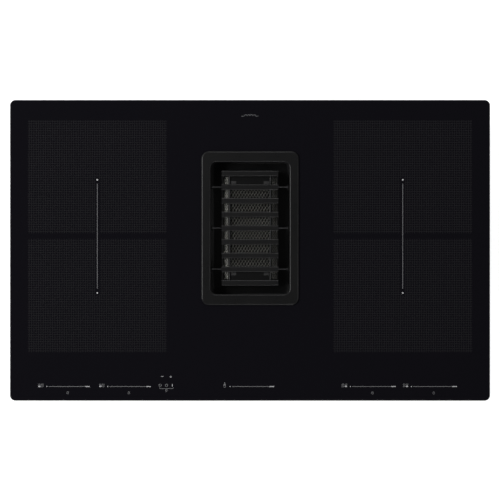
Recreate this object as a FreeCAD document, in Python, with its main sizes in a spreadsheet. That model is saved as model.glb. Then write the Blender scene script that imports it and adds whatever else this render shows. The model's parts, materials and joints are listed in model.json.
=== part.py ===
# Downdraft induction cooktop for a worktop cut-out, in millimetres.
# Origin: the centre of the glass, in the plane of the worktop's top face.
# +X points to the cook's right, +Y to the back of the worktop and +Z up.

import FreeCAD, Part
import math
import operator
import os
from types import SimpleNamespace

import Sketcher
from FreeCAD import Placement, Rotation, Vector

# Driving dimensions

SIZES = {
    # Glass and rim
    "glass_width": 830.0,
    "glass_depth": 520.0,
    "glass_thickness": 4.0,
    "glass_corner": 9.5,
    "glass_edge_round": 1.0,
    "seal_thickness": 2.0,
    "seal_width": 10.0,
    "seal_inset": 2.0,
    "seal_inner_corner": 3.0,
    # Extraction mouth and its trim frame
    "mouth_width": 136.0,
    "mouth_depth": 228.0,
    "mouth_corner": 10.0,
    "mouth_rear_gap": 107.7,
    "bezel_rim": 16.0,
    "bezel_rim_depth": 19.0,
    "bezel_corner": 13.0,
    "bezel_height": 3.6,
    "bezel_round": 2.6,
    "bezel_skirt_wall": 1.5,
    "bezel_skirt_depth": 16.6,
    "bezel_seal_thickness": 0.6,
    "bezel_seal_width": 5.0,
    "glass_mouth_gap": 7.0,
    "glass_mouth_gap_depth": 10.0,
    "lug_reach": 4.5,
    "lug_width": 8.0,
    "lug_height": 5.5,
    # Grille
    "slat_length": 98.0,
    "slat_width": 9.6,
    "slat_height": 5.5,
    "slat_round": 1.3,
    "slat_pitch": 23.66,
    "rod_radius": 1.5,
    "rod_reach": 65.8,
    "rod_height": 3.8,
    "wire_radius": 1.2,
    "wire_spread": 35.4,
    # Filter cassette
    "cassette_drop": 0.65,
    "cassette_plate": 2.0,
    "cassette_wall": 1.2,
    "cassette_corner": 3.0,
    "cassette_flange_width": 125.0,
    "cassette_flange_end_gap": 1.0,
    "cassette_flange_thickness": 2.5,
    "cassette_flange_corner": 6.0,
    "window_half": 34.0,
    "window_bar": 3.5,
    "window_edge": 1.0,
    "window_reach": 70.0,
    "side_window_reach": 88.0,
    "mesh_thickness": 0.8,
    "mesh_lap": 1.2,
    "mesh_step_long": 8.0,
    "mesh_step_across": 6.0,
    "mesh_strand": 1.6,
    "side_mesh_drop": 8.0,
    "clip_tab_length": 9.0,
    "clip_tab_width": 5.0,
    "clip_tab_height": 0.7,
    "clip_tab_spread": 28.4,
    "clip_tab_reach": 79.0,
    # Well
    "well_wall": 2.5,
    "well_gap": 2.0,
    "well_flange": 11.5,
    "well_seal_thickness": 1.5,
    "well_seal_width": 6.0,
    "well_floor_level": 150.0,
    "ledge_level": 50.0,
    "ledge_thickness": 3.0,
    "ledge_lap": 3.5,
    "neck_width": 118.0,
    "neck_depth": 188.0,
    "neck_height": 9.0,
    "neck_wall": 2.5,
    "neck_corner": 6.0,
    "drain_radius": 26.0,
    # Drip container
    "container_wall": 2.0,
    "container_height": 34.6,
    "container_top_gap": 0.9,
    "container_corner": 8.0,
    "container_seal_thickness": 1.7,
    "container_seal_height": 4.0,
    "container_seal_drop": 2.6,
    "fit_gap": 0.3,
    "pull_width": 46.0,
    "pull_thickness": 5.0,
    "pull_reach": 12.0,
    # Duct from the well to the blower
    "duct_wall": 2.5,
    "duct_eye_gap": 23.0,
    "duct_port_inset": 6.0,
    "duct_seal_thickness": 2.0,
    "duct_beyond_eye": 14.0,
    "duct_top_gap": 2.5,
    # Blower
    "volute_well_gap": 0.5,
    "blower_mouth_offset": 18.3,
    "casing_wall": 2.5,
    "casing_top_level": 92.0,
    "casing_bottom_level": 186.0,
    "volute_radius": 100.0,
    "volute_step": 15.0,
    "outlet_glass_gap": 24.0,
    "outlet_width": 217.0,
    "rim_width": 7.0,
    "rim_thickness": 2.5,
    "eye_blade_gap": 4.0,
    "eye_ring_wall": 3.5,
    "eye_ring_depth": 7.0,
    "eye_ring_flange": 9.0,
    "eye_ring_flange_thickness": 2.0,
    "outlet_flange_thickness": 3.0,
    "outlet_flange_ear": 20.5,
    "outlet_flange_lip": 2.0,
    "outlet_hole_radius": 2.25,
    "outlet_hole_inset": 8.5,
    "outlet_hole_spacing": 74.0,
    "hanger_radius": 4.0,
    "hanger_bush_radius": 8.0,
    "hanger_bush_height": 10.0,
    "hanger_duct_gap": 10.0,
    "hanger_outlet_gap": 26.0,
    "hanger_corner_gap": 56.0,
    # Impeller and motor
    "wheel_volute_gap": 10.0,
    "blade_depth": 14.0,
    "blade_thickness": 1.4,
    "blade_bow_radius": 14.0,
    "impeller_plate": 2.5,
    "impeller_floor_gap": 6.0,
    "impeller_roof_gap": 6.0,
    "impeller_ring_width": 10.0,
    "dome_motor_gap": 10.0,
    "dome_rise": 54.0,
    "hub_radius": 9.0,
    "hub_height": 9.0,
    "shaft_radius": 4.0,
    "shaft_fit": 0.02,
    "motor_radius": 42.0,
    "motor_height": 38.0,
    "motor_wall": 2.5,
    "bush_radius": 5.0,
    "bush_height": 4.0,
    "bush_circle": 33.0,
    "bearing_radius": 11.0,
    "bearing_width": 7.0,
    "stator_bore": 23.0,
    "stator_height": 16.0,
    "rotor_gap": 0.6,
    "rotor_height": 18.0,
    # Casing screws
    "screw_radius": 2.0,
    "screw_head_radius": 3.4,
    "screw_head_height": 2.6,
    # Tray
    "sheet": 1.0,
    "tray_side_gap": 30.0,
    "tray_end_gap": 20.0,
    "tray_height": 50.0,
    "tray_corner": 4.0,
    "tray_well_gap": 2.5,
    "vent_slot_length": 62.0,
    "vent_slot_width": 4.0,
    "vent_slot_pitch": 9.0,
    "side_slot_length": 24.0,
    "side_slot_width": 3.5,
    "side_slot_pitch": 12.0,
    "bracket_length": 40.0,
    "bracket_leg": 16.0,
    "bracket_sheet": 1.5,
    "bracket_front_spread": 100.0,
    "bracket_rear_spread": 240.0,
    "bracket_screw_drop": 9.0,
    # Worktop clips
    "clip_width": 30.0,
    "clip_height": 30.0,
    "clip_bulge": 4.4,
    "clip_sheet": 1.0,
    "clip_spread": 160.0,
    "clip_top_drop": 4.0,
    # Coils
    "zone_mouth_gap": 88.0,
    "zone_side_gap": 43.0,
    "zone_rear_gap": 43.9,
    "zone_front_gap": 92.95,
    "zone_between": 27.15,
    "coil_corner": 42.0,
    "coil_eye_width": 58.0,
    "coil_eye_depth": 38.0,
    "coil_eye_corner": 15.0,
    "coil_thickness": 6.0,
    "mica_thickness": 1.0,
    "mica_margin": 6.0,
    "ferrite_length": 52.0,
    "ferrite_width": 14.0,
    "ferrite_thickness": 5.0,
    "carrier_sheet": 2.0,
    "carrier_margin": 5.0,
    "carrier_corner": 8.0,
    "sensor_radius": 5.0,
    "leaf_sheet": 0.8,
    "leaf_width": 12.0,
    "leaf_foot": 12.0,
    "leaf_lean": 16.0,
    # Power electronics
    "board_thickness": 1.6,
    "board_lift": 6.0,
    "board_coil_inset": 23.0,
    "board_rear_gap": 31.0,
    "board_fan_gap": 53.0,
    "post_radius": 3.0,
    "post_inset": 6.0,
    "sink_width": 40.0,
    "sink_end_gap": 28.0,
    "sink_base": 4.0,
    "sink_height": 22.0,
    "sink_fin": 1.6,
    "capacitor_width": 20.0,
    "capacitor_depth": 32.0,
    "capacitor_height": 20.0,
    "capacitor_pitch": 52.0,
    "capacitor_offset": 50.0,
    # Cooling fans
    "fan_wall_gap": 90.0,
    "fan_size": 80.0,
    "fan_height": 25.0,
    "fan_corner": 6.0,
    "fan_bore": 37.5,
    "fan_base": 3.0,
    "fan_hub": 16.0,
    "fan_strut": 5.0,
    "fan_strut_lap": 1.5,
    "fan_tip_gap": 2.0,
    "fan_blade_thickness": 1.4,
    "fan_blade_chord": 17.0,
    "fan_cup_wall": 1.6,
    "fan_cup_gap": 2.0,
    "fan_pin_radius": 1.5,
    "fan_pin_fit": 0.05,
    "fan_post_radius": 4.0,
    "fan_post_height": 12.0,
    # Touch controls
    "touch_wall_gap": 15.0,
    "touch_between": 54.0,
    "touch_centre_length": 140.0,
    "touch_board_depth": 28.0,
    "touch_board_drop": 8.4,
    "touch_carrier_wall": 2.0,
    "touch_carrier_gap": 1.0,
    "touch_leg_width": 16.0,
    "pad_radius": 4.0,
    # Mains input
    "mains_board_width": 120.0,
    "mains_board_depth": 56.0,
    "mains_board_left": 22.0,
    "terminal_width": 66.0,
    "terminal_depth": 30.0,
    "terminal_height": 20.0,
    "terminal_right": 102.0,
    "terminal_back_gap": 14.0,
    "terminal_hole_radius": 3.0,
    "cover_wall": 1.6,
    "cover_gap": 1.0,
    "gland_radius": 12.0,
    "gland_bore": 6.5,
    "gland_length": 20.0,
    "gland_nut_radius": 15.0,
    "gland_nut_height": 5.0,
    "gland_nut_gap": 3.0,
    "gland_lock_radius": 14.0,
    # Wiring
    "lead_radius": 2.4,
    "lead_bend": 14.0,
    "lead_run": 50.0,
    "cut_overrun": 2.0,
}

# Counts and shares

SLATS = 9
RODS = 3
BLADES = 32
FAN_BLADES = 7
SINK_FINS = 8
VENT_SLOTS = 7
SIDE_SLOTS = 12
LEADING_ANGLE = 60.0
FAN_BLADE_TILT = 38.0
SLIDER_PADS = 5
CAPACITORS = 3
TERMINALS = 5
MOTOR_BUSHES = 3
FIRST_BUSH_ANGLE = 90.0
LEVEL_TOLERANCE = 1e-4
# First and last pad of each slider, and the lone keys, along the left, middle and right touch board.
slider_shares = (((0.09, 0.376), (0.504, 0.805)), ((0.236, 0.791),), ((0.218, 0.519), (0.646, 0.947)))
key_shares = ((0.875, 0.945), (), ())
# Where the volute's screws lie along each arc, and how far the hangers lie to its sides.
rim_screw_shares = (0.25, 0.75)
front_hanger_share = 0.6
corner_hanger_share = 1.2
# Heights along a worktop clip.
clip_screw_share = 1 / 6
clip_bend_share = 1 / 3
clip_belly_share = 0.7

doc = FreeCAD.newDocument("Cooktop")
sheet = doc.addObject("Spreadsheet::Sheet", "Sizes")

OPERATIONS = {"+": operator.add, "-": operator.sub, "*": operator.mul, "/": operator.truediv}


class Size(float):
    """A length in millimetres that keeps the sheet formula it comes from."""

    def __new__(cls, number, text):
        made = super().__new__(cls, number)
        made.text = text
        return made

    def __add__(self, other):
        return combined(self, "+", other)

    def __radd__(self, other):
        return combined(other, "+", self)

    def __sub__(self, other):
        return combined(self, "-", other)

    def __rsub__(self, other):
        return combined(other, "-", self)

    def __mul__(self, other):
        return combined(self, "*", other)

    def __rmul__(self, other):
        return combined(other, "*", self)

    def __truediv__(self, other):
        return combined(self, "/", other)

    def __neg__(self):
        return combined(0, "-", self)


def text_of(value):
    return value.text if isinstance(value, Size) else repr(float(value))


def combined(left, sign, right):
    number = OPERATIONS[sign](float(left), float(right))
    return Size(number, f"({text_of(left)} {sign} {text_of(right)})")


def fill_sheet():
    """Writes the driving dimensions into the sheet and returns them by name."""
    values = SimpleNamespace()
    for row, (name, number) in enumerate(SIZES.items(), 1):
        sheet.set(f"A{row}", name)
        sheet.set(f"B{row}", str(number))
        sheet.setAlias(f"B{row}", name)
        setattr(values, name, Size(number, f"Sizes.{name}"))
    doc.recompute()
    return values


S = fill_sheet()

# Ways to make and bind shapes

PIECES = []


def bind(target, name, value):
    """Ties a property to the sheet."""
    if isinstance(value, Size):
        target.setExpression(name, value.text)
    elif value:
        target.setExpression(name, repr(float(value)))


def place(target, x=0, y=0, z=0):
    bind(target, "Placement.Base.x", x)
    bind(target, "Placement.Base.y", y)
    bind(target, "Placement.Base.z", z)
    return target


def piece(target, label):
    """Registers a finished object as a sub-part of its own."""
    target.Label = label
    PIECES.append(target)
    return target


def block(x0, x1, y0, y1, z0, z1):
    made = doc.addObject("Part::Box", "Block")
    bind(made, "Length", x1 - x0)
    bind(made, "Width", y1 - y0)
    bind(made, "Height", z1 - z0)
    return place(made, x0, y0, z0)


def post(radius, x, y, z0, z1):
    """A round bar that stands along Z."""
    made = doc.addObject("Part::Cylinder", "Post")
    bind(made, "Radius", radius)
    bind(made, "Height", z1 - z0)
    return place(made, x, y, z0)


def bar_x(radius, x0, x1, y, z):
    """A round bar along X."""
    made = doc.addObject("Part::Cylinder", "Bar")
    bind(made, "Radius", radius)
    bind(made, "Height", x1 - x0)
    made.Placement = Placement(Vector(), Rotation(Vector(0, 1, 0), 90))
    return place(made, x0, y, z)


def bar_y(radius, x, y0, y1, z):
    """A round bar along Y."""
    made = doc.addObject("Part::Cylinder", "Bar")
    bind(made, "Radius", radius)
    bind(made, "Height", y1 - y0)
    made.Placement = Placement(Vector(), Rotation(Vector(1, 0, 0), -90))
    return place(made, x, y0, z)


def fuse(*parts):
    made = doc.addObject("Part::MultiFuse", "Fused")
    made.Shapes = list(parts)
    made.Refine = True
    return made


def group(*parts):
    """Like pieces that stay separate solids of one sub-part."""
    made = doc.addObject("Part::Compound", "Group")
    made.Links = list(parts)
    return made


def cut(base, *tools):
    made = doc.addObject("Part::Cut", "Cut")
    made.Base = base
    made.Tool = tools[0] if len(tools) == 1 else group(*tools)
    return made


def new_body(label):
    return piece(doc.addObject("PartDesign::Body", "Body"), label)


def sketch_on(body, role="XY_Plane", lift=0):
    """An empty sketch on one of the body's own origin planes."""
    sketch = body.newObject("Sketcher::SketchObject", "Sketch")
    plane = next(p for p in body.Origin.OriginFeatures if p.Role == role)
    sketch.AttachmentSupport = [(plane, "")]
    sketch.MapMode = "FlatFace"
    bind(sketch, "AttachmentOffset.Base.z", lift)
    return sketch


def tie(sketch, kind, value, *where):
    """Adds a dimension to a sketch and ties it to the sheet."""
    index = sketch.addConstraint(Sketcher.Constraint(kind, *where, float(value)))
    if isinstance(value, Size):
        sketch.setExpression(f"Constraints[{index}]", value.text)


def fix_point(sketch, element, point, x, y):
    """Ties a point to its place from the sketch's origin."""
    for kind, axis, value in (("DistanceX", -2, x), ("DistanceY", -1, y)):
        if value == 0:
            sketch.addConstraint(Sketcher.Constraint("PointOnObject", element, point, axis))
        else:
            tie(sketch, kind, value, -1, 1, element, point)


def round_loop(sketch, radius, x=0, y=0):
    circle = sketch.addGeometry(Part.Circle(Vector(x, y, 0), Vector(0, 0, 1), float(radius)), False)
    tie(sketch, "Radius", radius, circle)
    fix_point(sketch, circle, 3, x, y)


def polygon_loop(sketch, points):
    places = [Vector(float(x), float(y), 0) for x, y in points]
    ends = places[1:] + places[:1]
    lines = sketch.addGeometry([Part.LineSegment(a, b) for a, b in zip(places, ends)], False)
    for index, line in enumerate(lines):
        after = lines[(index + 1) % len(lines)]
        sketch.addConstraint(Sketcher.Constraint("Coincident", line, 2, after, 1))
        fix_point(sketch, line, 1, *points[index])


def box_loop(sketch, x0, x1, y0, y1):
    polygon_loop(sketch, ((x0, y0), (x1, y0), (x1, y1), (x0, y1)))


def rounded_loop(sketch, width, depth, radius, x=0, y=0):
    """A rectangle with round corners about a centre."""
    right, left = x + width / 2 - radius, x - width / 2 + radius
    high, low = y + depth / 2 - radius, y - depth / 2 + radius
    out = float(radius)
    corners = ((right, low, -90), (right, high, 0), (left, high, 90), (left, low, 180))
    arcs = []
    for cx, cy, start in corners:
        circle = Part.Circle(Vector(float(cx), float(cy), 0), Vector(0, 0, 1), out)
        arcs.append(Part.ArcOfCircle(circle, math.radians(start), math.radians(start + 90)))
    sides = []
    for index, arc in enumerate(arcs):
        sides.append(Part.LineSegment(arcs[index - 1].EndPoint, arc.StartPoint))
    bends = sketch.addGeometry(arcs, False)
    lines = sketch.addGeometry(sides, False)
    for index, bend in enumerate(bends):
        line, after = lines[index], lines[(index + 1) % len(lines)]
        sketch.addConstraint(Sketcher.Constraint("Tangent", line, 2, bend, 1))
        sketch.addConstraint(Sketcher.Constraint("Tangent", bend, 2, after, 1))
        tie(sketch, "Radius", radius, bend)
        fix_point(sketch, bend, 3, corners[index][0], corners[index][1])


def pad(body, sketch, length, both=False):
    made = body.newObject("PartDesign::Pad", "Pad")
    made.Profile = sketch
    made.Midplane = both
    bind(made, "Length", length)
    return made


def pocket(body, sketch, length, both=False):
    """Cuts from a sketch, against its normal, or half the length to each side."""
    made = body.newObject("PartDesign::Pocket", "Pocket")
    made.Profile = sketch
    made.Midplane = both
    bind(made, "Length", length)
    return made


def repeat(body, feature, sketch, axis, length, count):
    """Repeats a feature along one of a sketch's axes, from the first to the last place."""
    made = body.newObject("PartDesign::LinearPattern", "LinearPattern")
    made.Originals = [feature]
    made.Direction = (sketch, [axis])
    made.Occurrences = count
    bind(made, "Length", length)
    body.Tip = made
    return made


def turned(body, points):
    """A body turned about Z from the outline's radius and height pairs."""
    sketch = sketch_on(body, "XZ_Plane")
    polygon_loop(sketch, points)
    made = body.newObject("PartDesign::Revolution", "Revolution")
    made.Profile = sketch
    made.ReferenceAxis = (sketch, ["V_Axis"])
    made.Angle = 360
    return made


def round_edges(body, feature, radius, level):
    """Rounds every edge of a feature that lies at one height of the body."""
    doc.recompute()
    names = []
    for index, edge in enumerate(feature.Shape.Edges, 1):
        box = edge.BoundBox
        if abs(box.ZMin - level) < LEVEL_TOLERANCE and abs(box.ZMax - level) < LEVEL_TOLERANCE:
            names.append(f"Edge{index}")
    made = body.newObject("PartDesign::Fillet", "Fillet")
    made.Base = (feature, names)
    bind(made, "Radius", radius)
    return made


def ring(label, width, depth, corner, border, inner_corner, thickness, y, z):
    """A flat frame: an outer rounded rectangle less an inner one."""
    body = new_body(label)
    sketch = sketch_on(body)
    rounded_loop(sketch, width, depth, corner)
    rounded_loop(sketch, width - 2 * border, depth - 2 * border, inner_corner)
    pad(body, sketch, thickness)
    return place(body, 0, y, z)


def shaped(label, shape, x=0, y=0, z=0):
    """A sub-part whose shape is worked out here from the sheet's values."""
    made = doc.addObject("Part::Feature", "Shaped")
    made.Shape = shape
    place(made, x, y, z)
    return piece(made, label)


def arc_edge(centre, radius, start, stop):
    circle = Part.Circle(centre, Vector(0, 0, 1), float(radius))
    return Part.ArcOfCircle(circle, math.radians(start), math.radians(stop)).toShape()


def path_of(points, bend):
    """Straight runs through points, joined by arcs that touch both runs."""
    edges = []
    start = points[0]
    for before, corner, after in zip(points, points[1:], points[2:]):
        back = (before - corner).normalize()
        ahead = (after - corner).normalize()
        half = back.getAngle(ahead) / 2
        reach = bend / math.tan(half)
        middle = corner + (back + ahead).normalize() * (bend / math.sin(half) - bend)
        enter, leave = corner + back * reach, corner + ahead * reach
        edges.append(Part.LineSegment(start, enter).toShape())
        edges.append(Part.Arc(enter, middle, leave).toShape())
        start = leave
    edges.append(Part.LineSegment(start, points[-1]).toShape())
    return Part.Wire(edges)


def tube_along(points, radius, bend):
    route = path_of(points, float(bend))
    circle = Part.Circle(points[0], points[1] - points[0], float(radius))
    return route.makePipeShell([Part.Wire(circle.toShape())], True, True)


# Places and levels that several pieces share

mouth_y = S.glass_depth / 2 - S.mouth_rear_gap - S.mouth_depth / 2
tray_width = S.glass_width - 2 * S.tray_side_gap
tray_depth = S.glass_depth - 2 * S.tray_end_gap
zone_inside = S.mouth_width / 2 + S.zone_mouth_gap
zone_outside = S.glass_width / 2 - S.zone_side_gap
zone_x = (zone_inside + zone_outside) / 2
coil_width = zone_outside - zone_inside
coil_depth = (S.glass_depth - S.zone_rear_gap - S.zone_between - S.zone_front_gap) / 2
zone_back = S.glass_depth / 2 - S.zone_rear_gap - coil_depth / 2
zone_front = S.glass_depth / 2 - S.zone_front_gap - coil_depth / 2
fan_front = tray_depth / 2 - S.fan_wall_gap
power_board_width = coil_width - 2 * S.board_coil_inset
power_board_front = fan_front - S.fan_size / 2 - S.board_fan_gap
power_board_depth = tray_depth / 2 - S.board_rear_gap + power_board_front
power_board_y = power_board_depth / 2 - power_board_front
touch_reach = tray_width / 2 - S.touch_wall_gap
impeller_radius = S.volute_radius - S.wheel_volute_gap
blade_inner_radius = impeller_radius - S.blade_depth
eye_radius = blade_inner_radius - S.eye_blade_gap
duct_width = 2 * (eye_radius + S.duct_eye_gap)
outlet_level = S.glass_depth / 2 - S.outlet_glass_gap
under_glass = S.seal_thickness
glass_face = under_glass + S.glass_thickness
bezel_foot = glass_face + S.bezel_seal_thickness
rod_level = S.rod_height
slat_foot = rod_level - S.slat_height / 2
lug_top = rod_level - S.rod_radius - S.fit_gap
cassette_top = slat_foot - 2 * S.wire_radius - S.cassette_drop
ledge_top = -S.ledge_level
well_width = S.mouth_width + 2 * S.well_gap
well_depth = S.mouth_depth + 2 * S.well_gap
well_outside = well_width / 2 + S.well_wall
well_top = under_glass - S.well_seal_thickness
well_floor = -S.well_floor_level
well_foot = well_floor - S.well_wall
tray_foot = under_glass - S.tray_height
tray_deck = tray_foot + S.sheet
volute_left = S.volute_radius + 3 * S.volute_step / 2 + S.casing_wall + S.rim_width
blower_x = well_outside + S.volute_well_gap + volute_left
blower_y = mouth_y - S.blower_mouth_offset
casing_top = -S.casing_top_level
casing_foot = -S.casing_bottom_level
casing_floor = casing_foot + S.casing_wall
casing_roof = casing_top - S.casing_wall
casing_middle = (casing_top + casing_foot) / 2
mica_foot = under_glass - S.mica_thickness
coil_foot = mica_foot - S.coil_thickness
carrier_top = coil_foot - S.ferrite_thickness
carrier_foot = carrier_top - S.carrier_sheet
board_foot = tray_deck + S.board_lift
board_top = board_foot + S.board_thickness


def slat_places():
    return [(index - (SLATS - 1) / 2) * S.slat_pitch for index in range(SLATS)]


def rod_places():
    step = SLATS // RODS
    return [(index - (RODS - 1) / 2) * step * S.slat_pitch for index in range(RODS)]


# Glass, seals and trim frame


def make_glass():
    body = new_body("glass_top")
    sketch = sketch_on(body)
    rounded_loop(sketch, S.glass_width, S.glass_depth, S.glass_corner)
    hole_width = S.mouth_width + 2 * S.glass_mouth_gap
    hole_depth = S.mouth_depth + 2 * S.glass_mouth_gap_depth
    rounded_loop(sketch, hole_width, hole_depth, S.mouth_corner, 0, mouth_y)
    sheet_of_glass = pad(body, sketch, S.glass_thickness)
    round_edges(body, sheet_of_glass, S.glass_edge_round, S.glass_thickness)
    place(body, 0, 0, under_glass)


def make_seals():
    width = S.glass_width - 2 * S.seal_inset
    depth = S.glass_depth - 2 * S.seal_inset
    corner = S.glass_corner - S.seal_inset
    ring("rim_seal", width, depth, corner, S.seal_width, S.seal_inner_corner, S.seal_thickness, 0, 0)
    width = S.mouth_width + 2 * S.bezel_rim - 2 * S.seal_inset
    depth = S.mouth_depth + 2 * S.bezel_rim_depth - 2 * S.seal_inset
    corner = S.bezel_corner - S.seal_inset
    inner = corner - S.bezel_seal_width
    border = S.bezel_seal_width
    ring("bezel_seal", width, depth, corner, border, inner, S.bezel_seal_thickness, mouth_y, glass_face)
    width = well_width + 2 * S.well_wall + 2 * S.well_flange
    depth = well_depth + 2 * S.well_wall + 2 * S.well_flange
    corner = S.mouth_corner
    inner = corner - S.well_seal_width
    border = S.well_seal_width
    ring("well_seal", width, depth, corner, border, inner, S.well_seal_thickness, mouth_y, well_top)


def make_bezel():
    body = new_body("vent_bezel")
    rim = sketch_on(body)
    width = S.mouth_width + 2 * S.bezel_rim
    depth = S.mouth_depth + 2 * S.bezel_rim_depth
    rounded_loop(rim, width, depth, S.bezel_corner)
    rounded_loop(rim, S.mouth_width, S.mouth_depth, S.mouth_corner)
    pad(body, rim, S.bezel_height)
    skirt = sketch_on(body, lift=-S.bezel_skirt_depth)
    wall = S.bezel_skirt_wall
    rounded_loop(skirt, S.mouth_width + 2 * wall, S.mouth_depth + 2 * wall, S.mouth_corner + wall)
    rounded_loop(skirt, S.mouth_width, S.mouth_depth, S.mouth_corner)
    pad(body, skirt, S.bezel_skirt_depth)
    lugs = sketch_on(body, lift=lug_top - S.lug_height - bezel_foot)
    outside = S.mouth_width / 2 + wall / 2
    inside = S.mouth_width / 2 - S.lug_reach
    for y in rod_places():
        box_loop(lugs, inside, outside, y - S.lug_width / 2, y + S.lug_width / 2)
        box_loop(lugs, -outside, -inside, y - S.lug_width / 2, y + S.lug_width / 2)
    frame = pad(body, lugs, S.lug_height)
    round_edges(body, frame, S.bezel_round, S.bezel_height)
    place(body, 0, mouth_y, bezel_foot)


# Grille


def make_grille():
    slats = new_body("grille_slats")
    section = sketch_on(slats, "YZ_Plane")
    rounded_loop(section, S.slat_width, S.slat_height, S.slat_round, slat_places()[0], 0)
    first = pad(slats, section, S.slat_length, both=True)
    repeat(slats, first, section, "H_Axis", (SLATS - 1) * S.slat_pitch, SLATS)
    bores = sketch_on(slats, "YZ_Plane")
    for y in rod_places():
        round_loop(bores, S.rod_radius, y, 0)
    pocket(slats, bores, S.slat_length + S.cut_overrun, both=True)
    place(slats, 0, mouth_y, rod_level)

    bars = []
    for y in rod_places():
        bars.append(bar_x(S.rod_radius, -S.rod_reach, S.rod_reach, mouth_y + y, rod_level))
    piece(group(*bars), "grille_cross_rods")

    wires = []
    reach = (SLATS - 1) / 2 * S.slat_pitch + S.slat_width / 2
    for x in (-S.wire_spread, S.wire_spread):
        level = slat_foot - S.wire_radius
        wires.append(bar_y(S.wire_radius, x, mouth_y - reach, mouth_y + reach, level))
    piece(group(*wires), "grille_wires")


# Filter cassette


def holed_sheet(width, depth):
    """A sheet of expanded metal: staggered diamond holes about its centre."""
    outer = Part.makePolygon(
        [
            Vector(-width / 2, -depth / 2, 0),
            Vector(width / 2, -depth / 2, 0),
            Vector(width / 2, depth / 2, 0),
            Vector(-width / 2, depth / 2, 0),
            Vector(-width / 2, -depth / 2, 0),
        ]
    )
    half_x = (S.mesh_step_across - S.mesh_strand) / 2
    half_y = (S.mesh_step_long - S.mesh_strand) / 2
    wires = [outer]
    rows = int(depth / S.mesh_step_long * 2)
    columns = int(width / S.mesh_step_across) + 1
    for row in range(-rows // 2, rows // 2 + 1):
        y = row * float(S.mesh_step_long) / 2
        shift = (row % 2) * float(S.mesh_step_across) / 2
        for column in range(-columns // 2, columns // 2 + 1):
            x = column * float(S.mesh_step_across) + shift
            inside_x = abs(x) + half_x + S.mesh_strand / 2 < width / 2
            inside_y = abs(y) + half_y + S.mesh_strand / 2 < depth / 2
            if inside_x and inside_y:
                corners = ((x - half_x, y), (x, y - half_y), (x + half_x, y), (x, y + half_y))
                points = [Vector(float(a), float(b), 0) for a, b in corners]
                wires.append(Part.makePolygon(points + points[:1]))
    return Part.Face(wires, "Part::FaceMakerBullseye").extrude(Vector(0, 0, S.mesh_thickness))


def make_cassette():
    body = new_body("cassette_frame")
    depth = (SLATS - 1) * S.slat_pitch + S.slat_width
    flange_level = ledge_top - cassette_top
    flange = sketch_on(body, lift=flange_level)
    flange_depth = S.mouth_depth - 2 * S.cassette_flange_end_gap
    rounded_loop(flange, S.cassette_flange_width, flange_depth, S.cassette_flange_corner)
    inner_width = S.slat_length - 2 * S.cassette_wall
    inner_depth = depth - 2 * S.cassette_wall
    rounded_loop(flange, inner_width, inner_depth, S.cassette_corner - S.cassette_wall)
    pad(body, flange, S.cassette_flange_thickness)
    wall = sketch_on(body, lift=flange_level)
    rounded_loop(wall, S.slat_length, depth, S.cassette_corner)
    rounded_loop(wall, inner_width, inner_depth, S.cassette_corner - S.cassette_wall)
    pad(body, wall, -flange_level)
    plate = sketch_on(body, lift=-S.cassette_plate)
    rounded_loop(plate, S.slat_length, depth, S.cassette_corner)
    box_loop(plate, -S.window_half, S.window_half, -S.window_reach, S.window_reach)
    edge = S.slat_length / 2 - S.cassette_wall - S.window_edge
    start = S.window_half + S.window_bar
    box_loop(plate, start, edge, -S.side_window_reach, S.side_window_reach)
    box_loop(plate, -edge, -start, -S.side_window_reach, S.side_window_reach)
    pad(body, plate, S.cassette_plate)
    place(body, 0, mouth_y, cassette_top)

    under_plate = cassette_top - S.cassette_plate
    width = 2 * (S.window_half + S.mesh_lap)
    length = 2 * (S.window_reach + S.mesh_lap)
    level = under_plate - S.mesh_thickness
    shaped("filter_mesh_centre", holed_sheet(width, length), 0, mouth_y, level)
    # The side panels lean down towards the walls.
    across = edge - start
    lean = math.degrees(math.atan2(S.side_mesh_drop, across))
    width = math.hypot(S.side_mesh_drop, across)
    length = 2 * (S.side_window_reach + S.mesh_lap)
    panels = []
    for side in (-1, 1):
        panel = holed_sheet(width, length)
        panel.rotate(Vector(), Vector(0, 1, 0), side * lean)
        panel.translate(Vector(float((start + edge) / 2 * side), 0, 0))
        panels.append(panel)
    drop = S.side_mesh_drop / 2 + S.mesh_thickness + S.fit_gap
    shaped("filter_mesh_sides", Part.makeCompound(panels), 0, mouth_y, under_plate - drop)

    tabs = []
    for x in (-S.clip_tab_spread, S.clip_tab_spread):
        for y in (mouth_y - S.clip_tab_reach, mouth_y + S.clip_tab_reach):
            half, wide = S.clip_tab_length / 2, S.clip_tab_width / 2
            top = cassette_top + S.clip_tab_height
            tabs.append(block(x - half, x + half, y - wide, y + wide, cassette_top, top))
    piece(group(*tabs), "cassette_clips")


# Well and drip container


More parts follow.
